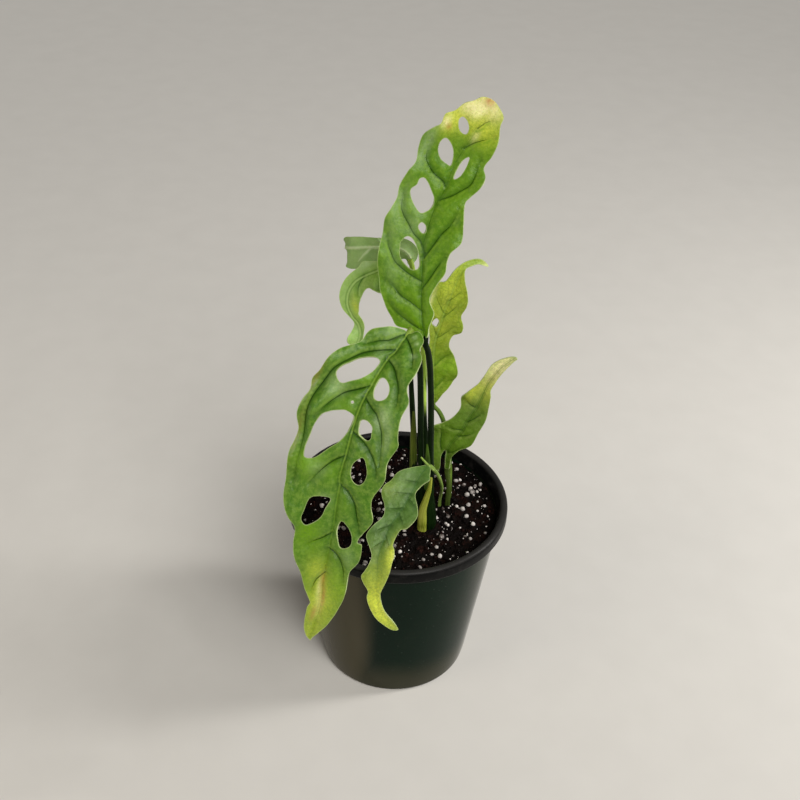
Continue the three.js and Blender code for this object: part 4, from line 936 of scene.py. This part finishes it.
# Pot: flat centre, raised channel with the drain holes, foot ring, tapered wall, rolled rim and
# back down inside to the floor
foot_inner = BASE_RADIUS - FOOT_WIDTH
centre_radius = foot_inner - CHANNEL_WIDTH
roll_radius = 1.9
rings = [(centre_radius, 0), (centre_radius + 1, CHANNEL_LIFT), (foot_inner - 1, CHANNEL_LIFT),
         (foot_inner, 0)]
rings += arc((BASE_RADIUS - 2.4, 2.5), 2.5, -90, -5, 7)
rings += [(BASE_RADIUS + (NECK_RADIUS - BASE_RADIUS) * share, NECK_HEIGHT * share)
          for share in np.linspace(0.08, 1, 12)]
rings += [(NECK_RADIUS + 0.35, NECK_HEIGHT + 0.25), (RIM_RADIUS - 1.3, NECK_HEIGHT + 0.35)]
rings += arc((RIM_RADIUS - 1.1, NECK_HEIGHT + 1.5), 1.1, -80, 0, 6)
rings += arc((RIM_RADIUS - roll_radius, POT_HEIGHT - roll_radius), roll_radius, 0, 175, 15)
rings += [(inner_radius(POT_HEIGHT) - 0.2, POT_HEIGHT - 3.4), (inner_radius(NECK_HEIGHT), NECK_HEIGHT)]
rings += [(inner_radius(height), height) for height in np.linspace(NECK_HEIGHT - 6, FLOOR_TOP, 6)]
pot = pulled_up("pot_shell", rings, 160)
drain_ring = (centre_radius + foot_inner) / 2
for place in range(DRAIN_COUNT):
    angle = (place + 0.5) / DRAIN_COUNT * 2 * math.pi
    bpy.ops.object.select_all(action="DESELECT")
    bpy.ops.mesh.primitive_cylinder_add(
        vertices=32, radius=DRAIN_RADIUS * MM, depth=12 * MM,
        location=(drain_ring * math.cos(angle) * MM, drain_ring * math.sin(angle) * MM, 2 * MM))
    drill = bpy.context.object
    select_only(pot)
    bore = pot.modifiers.new("drain", "BOOLEAN")
    bore.object = drill
    bpy.ops.object.modifier_apply(modifier="drain")
    bpy.data.objects.remove(drill)
pot.data.materials.append(moulded_pot("glossy moulded polypropylene"))
pot.data.materials.append(rim_with_painted_top_light("pot rim with painted top light"))
for face in pot.data.polygons:
    face.material_index = 1 if face.center.z > (NECK_HEIGHT + 0.3) * MM else 0
select_only(pot)
bpy.ops.object.shade_smooth_by_angle(angle=math.radians(40))
settle(pot, "pot_plastic", "pot")


# Soil: a bed with a low mound and crumbs, perlite grains and crumbs of peat lying on it
def soil_height(x, y):
    mound = 1.6 * math.cos(math.hypot(x, y) / RIM_RADIUS * 1.5)
    swell = 0.7 * math.sin(x * 0.21 + 1.3) * math.cos(y * 0.17)
    crumbs = 0.55 * math.sin(x * 0.83 + y * 0.31) * math.sin(y * 0.77 - x * 0.23)
    return SOIL_EDGE + mound + swell + crumbs


def soil_grit(x, y):
    """The finest unevenness of the soil, as a height."""
    return noise.fractal(Vector((x, y, 0)) * 0.55, 1, 2, 4) * 0.75


soil_reach = inner_radius(SOIL_EDGE) - SOIL_CLEARANCE
rings = [(inner_radius(FLOOR_TOP) - SOIL_CLEARANCE, FLOOR_TOP + 0.3), (soil_reach, SOIL_EDGE - 1)]
rings += [(radius, SOIL_EDGE) for radius in np.linspace(soil_reach, 0.5, 52)]
soil = pulled_up("soil_bed", rings, 180)
for corner in soil.data.vertices:
    x, y, z = corner.co / MM
    if z > SOIL_EDGE - 0.5:
        fade = min(1, (soil_reach - math.hypot(x, y)) / 1.5)
        corner.co.z = (SOIL_EDGE + (soil_height(x, y) - SOIL_EDGE + soil_grit(x, y)) * max(0, fade)) * MM
soil.data.materials.append(damp_peat("damp peat", "#080403", "#2c150e"))
select_only(soil)
bpy.ops.object.shade_smooth()
settle(soil, "soil_mix", "soil")


def scatter(name, count, sizes, skin, sink, detail, seed):
    """Grains that lie on the soil clear of the stems: one rough pebble, copied, turned and sized."""
    pick = random.Random(seed)
    bpy.ops.object.select_all(action="DESELECT")
    bpy.ops.mesh.primitive_ico_sphere_add(subdivisions=detail, radius=1, location=(0, 0, 0))
    pebble = bpy.context.object
    shape = np.array([tuple(corner.co) for corner in pebble.data.vertices])
    faces = np.array([tuple(face.vertices) for face in pebble.data.polygons])
    bpy.data.objects.remove(pebble)
    corners, sides, stains = [], [], []
    while len(corners) < count:
        reach = (soil_reach - 0.8) * math.sqrt(pick.random())
        angle = pick.random() * 2 * math.pi
        size = sizes[0] + (sizes[1] - sizes[0]) * pick.random() ** sizes[2]
        x, y = reach * math.cos(angle), reach * math.sin(angle)
        if any(math.hypot(x - foot[0], y - foot[1]) < foot[2] + size * 0.8 for foot in FEET.values()):
            continue
        turn = Matrix.Rotation(pick.random() * 6, 3, "X") @ Matrix.Rotation(pick.random() * 6, 3, "Z")
        stretch = np.array([1, 0.7 + 0.3 * pick.random(), 0.75 + 0.25 * pick.random()])
        offset = Vector((len(corners), 0, 0))
        knobs = np.array([1 + 0.28 * noise.noise(Vector(spot) * 1.7 + offset) for spot in shape])
        grain = (shape * knobs[:, None] * stretch) @ np.array(turn).T * size
        sides.append(faces + len(shape) * len(corners))
        corners.append(grain + (x, y, soil_height(x, y) + size * sink + soil_grit(x, y)))
        stains.append(np.full(len(shape), pick.random()))
    piece = new_piece(name, np.concatenate(corners), np.concatenate(sides).tolist())
    store(piece, "stain", np.concatenate(stains))
    piece.data.materials.append(skin)
    select_only(piece)
    bpy.ops.object.shade_smooth()
    settle(piece, "soil_mix")


perlite = perlite_glass("perlite")
scatter("perlite_coarse", 175, (0.6, 1.45, 1.3), perlite, 0.35, 2, 5)
scatter("perlite_fine", 420, (0.18, 0.5, 1.2), perlite, 0.4, 1, 6)
scatter("peat_crumbs", 1500, (0.4, 1.2, 1.6), damp_peat("peat crumbs", "#0c0605", "#42211a"), 0.3, 1, 7)

# Blades
BLADE_SLOTS = {"leaf_right": "leaf_yellow_green", "leaf_lower_right": "leaf_yellow_green",
               "leaf_back_upper": "leaf_underside"}
ends = {}
for name, leaf in LEAVES.items():
    piece = blade(name, leaf)
    point, direction, _, up = midrib_frame(leaf, np.array([0.0]))
    ends[name] = (point[0], direction[0], up[0])
    settle(piece, BLADE_SLOTS.get(name, "leaf_green"), name)


def stalk_end(name, bend):
    """The last stretch of a stalk: it runs in under its blade and turns into the midrib."""
    point, direction, up = ends[name]
    return [(point + direction * reach - up * drop).tolist()
            for reach, drop in ((-bend, 0.5), (-0.1, 0.9), (2.5, 1.3))]


def stalk_foot(node):
    """The first stretch of a stalk that stands in the soil by itself."""
    x, y, _ = FEET[node]
    return [[x, y, ROOT], [x, y, SOIL_EDGE - 4]]


# Stalks and sheaths
dark_stalk = stalk_skin("dark green stalk", "#050f03", "#152a0b")
mid_stalk = stalk_skin("green stalk", "#2a3f10", "#86a644")
olive_stalk = stalk_skin("olive stalk", "#26340e", "#56692b")
pale_stalk = stalk_skin("pale stalk", "#5d7a2c", "#a2b866")
olive_sheath = stalk_skin("olive sheath", "#34420f", "#66722a", streak=0.6)
straw_sheath = stalk_skin("yellow sheath", "#78861c", "#bcc057", streak=0.7)
leafy_shoot = stalk_skin("new shoot", "#263a0c", "#5c7a2c", streak=0.3)
sx, sy, _ = FEET["main_stem"]
tube("stem", "main_stem", dark_stalk, [4.8, 4.8, 4.8, 3.6, 1.8], [
    [sx, sy, ROOT], [sx, sy, SOIL_EDGE], [sx - 0.4, sy + 0.2, 103], [sx - 1.8, sy + 0.6, 117],
    [sx - 2.2, sy + 1, 126]])
tube("stalk_top", "main_stem", dark_stalk, [2.4, 1.4, 1.4, 1.2], [
    [sx + 0.2, sy, 96], [14.5, -13, 120], [13.5, -13.5, 144], [12.5, -14, 166.5], [11.3, -15, 184],
    [10, -16.7, 194], *stalk_end("leaf_top", 3)])
tube("stalk_front", "main_stem", dark_stalk, [2.4, 1.4, 1.4, 1.2], [
    [sx - 1, sy, 96], [10.5, -12, 120], [9, -11.5, 142], [8, -11.5, 164.5], [6.8, -13.2, 184.5],
    [4.6, -17, 197], *stalk_end("leaf_front", 2)], young_and_lit=[0] * 9 + [0.9])
# Painted light: this stalk's upper stretch is painted pale green where light falls on it between the shaded
# stalks
tube("stalk_back_upper", "main_stem", dark_stalk, [2.4, 1.4, 1.1, 1.3, 1.2], [
    [sx - 0.5, sy + 1, 96], [12.3, -9.5, 120], [11.2, -4, 136.5], [10, 1, 151], [9.2, 8, 168],
    [6.8, 15, 189.5], [3.2, 19.5, 202.5], *stalk_end("leaf_back_upper", 2)], young_and_lit=[0] * 9 + [0.9] * 11)
tube("stalk_back_curled", "main_stem", dark_stalk, [2.4, 1.4, 1, 1.1], [
    [sx - 2, sy + 1, 96], [7, -9.5, 118], [6, -5, 137], [4.8, 0, 149.5], [3.5, 6, 163], [2, 12, 182],
    *stalk_end("leaf_back_curled", 6)])
tube("back_sheath", "main_stem", olive_sheath, [1.5, 1.9, 1.8, 1.6, 0.5], [
    [sx - 3, sy + 1, 104], [7, -9.6, 116], [6, -6.5, 132], [5.5, -2.6, 146], [5.2, -0.8, 150.5]])
tube("front_sheath", "main_stem", straw_sheath, [1.6, 2.9, 3, 2.2, 1.7, 1.2, 0.5], [
    [sx - 1.6, sy - 1.8, ROOT + 4], [sx - 1.6, sy - 2.2, SOIL_EDGE + 1], [11.6, -16.4, 98],
    [11.6, -17.4, 105.5], [12.8, -18.6, 113], [14, -19.5, 120], [14.6, -19.8, 127]])
tube("new_shoot", "main_stem", leafy_shoot, [1, 1.2, 1.5, 0.4], [
    [sx - 1, sy - 1, 108], [12.6, -14.2, 122], [12.5, -14.6, 134], [12, -14.8, 142.5]])
tube("stalk_of_small", "stalk_small", pale_stalk, [0.9, 0.9, 0.75, 0.75, 0.85, 0.9], [
    *stalk_foot("stalk_small"), [20.2, 2.5, 94], [20.4, -0.5, 101], [20.4, -5.5, 109], [19.5, -10, 116.5],
    [18, -14.5, 124], [15.8, -18.2, 130.5], *stalk_end("leaf_small", 1)])
tube("spur_of_small", "stalk_small", pale_stalk, [0.6, 0.6, 0.5, 0.35], [
    [15.4, -19.5, 131.5], [13, -20.6, 134.9], [10.8, -20.6, 137.6], [9.4, -20.4, 139.4]], young_and_lit=(0, 0, 0.4))
tube("stalk_of_right", "stalk_right", mid_stalk, [1.4, 1.4, 1.3, 1.2, 1], [
    *stalk_foot("stalk_right"), [24.6, 9.5, 95], [24, 9, 110], [22, 8, 127.5], [19.5, 6.6, 140],
    [17, 6.1, 146], *stalk_end("leaf_right", 2.5)])
tube("stalk_of_lower_right", "stalk_lower_right", olive_stalk, [1.3, 1.3, 1.3, 1.2, 1.1], [
    *stalk_foot("stalk_lower_right"), [24, 2.5, 96.5], [24.1, 2.6, 104], *stalk_end("leaf_lower_right", 3)])

# Floor and light
bpy.ops.object.select_all(action="DESELECT")
bpy.ops.mesh.primitive_plane_add(size=12, location=(0, 0, 0))
floor = bpy.context.object
floor.name = "floor"
floor.data.materials.append(studio_board("studio board"))

world = bpy.data.worlds.new("studio")
world.use_nodes = True
world.node_tree.nodes["Background"].inputs["Color"].default_value = (1, 0.98, 0.94, 1)
world.node_tree.nodes["Background"].inputs["Strength"].default_value = 0.08
bpy.context.scene.world = world


def light(name, kind, power, tint, place, towards, **settings):
    """A lamp that stands at a place, in metres, and shines along a direction."""
    lamp = bpy.data.objects.new(name, bpy.data.lights.new(name, kind))
    lamp.data.energy = power
    lamp.data.color = tint
    for key, value in settings.items():
        setattr(lamp.data, key, value)
    lamp.location = place
    lamp.rotation_euler = Vector(towards).to_track_quat("-Z", "Y").to_euler()
    bpy.context.collection.objects.link(lamp)


light("soft key", "SUN", 2.3, (1, 0.985, 0.95), (0, 0, 0), (-0.3, 0.62, -0.72), angle=math.radians(32))
light("right strip", "AREA", 4.2, (1, 0.98, 0.94), (0.7, 0.05, 0.5), (-0.7, -0.05, -0.35),
      shape="RECTANGLE", size=0.12, size_y=0.6)
light("left card", "AREA", 1.2, (1, 0.9, 0.75), (-0.65, -0.35, 0.4), (0.65, 0.35, -0.25),
      shape="RECTANGLE", size=0.4, size_y=0.4)
bpy.context.scene.view_settings.view_transform = "Standard"
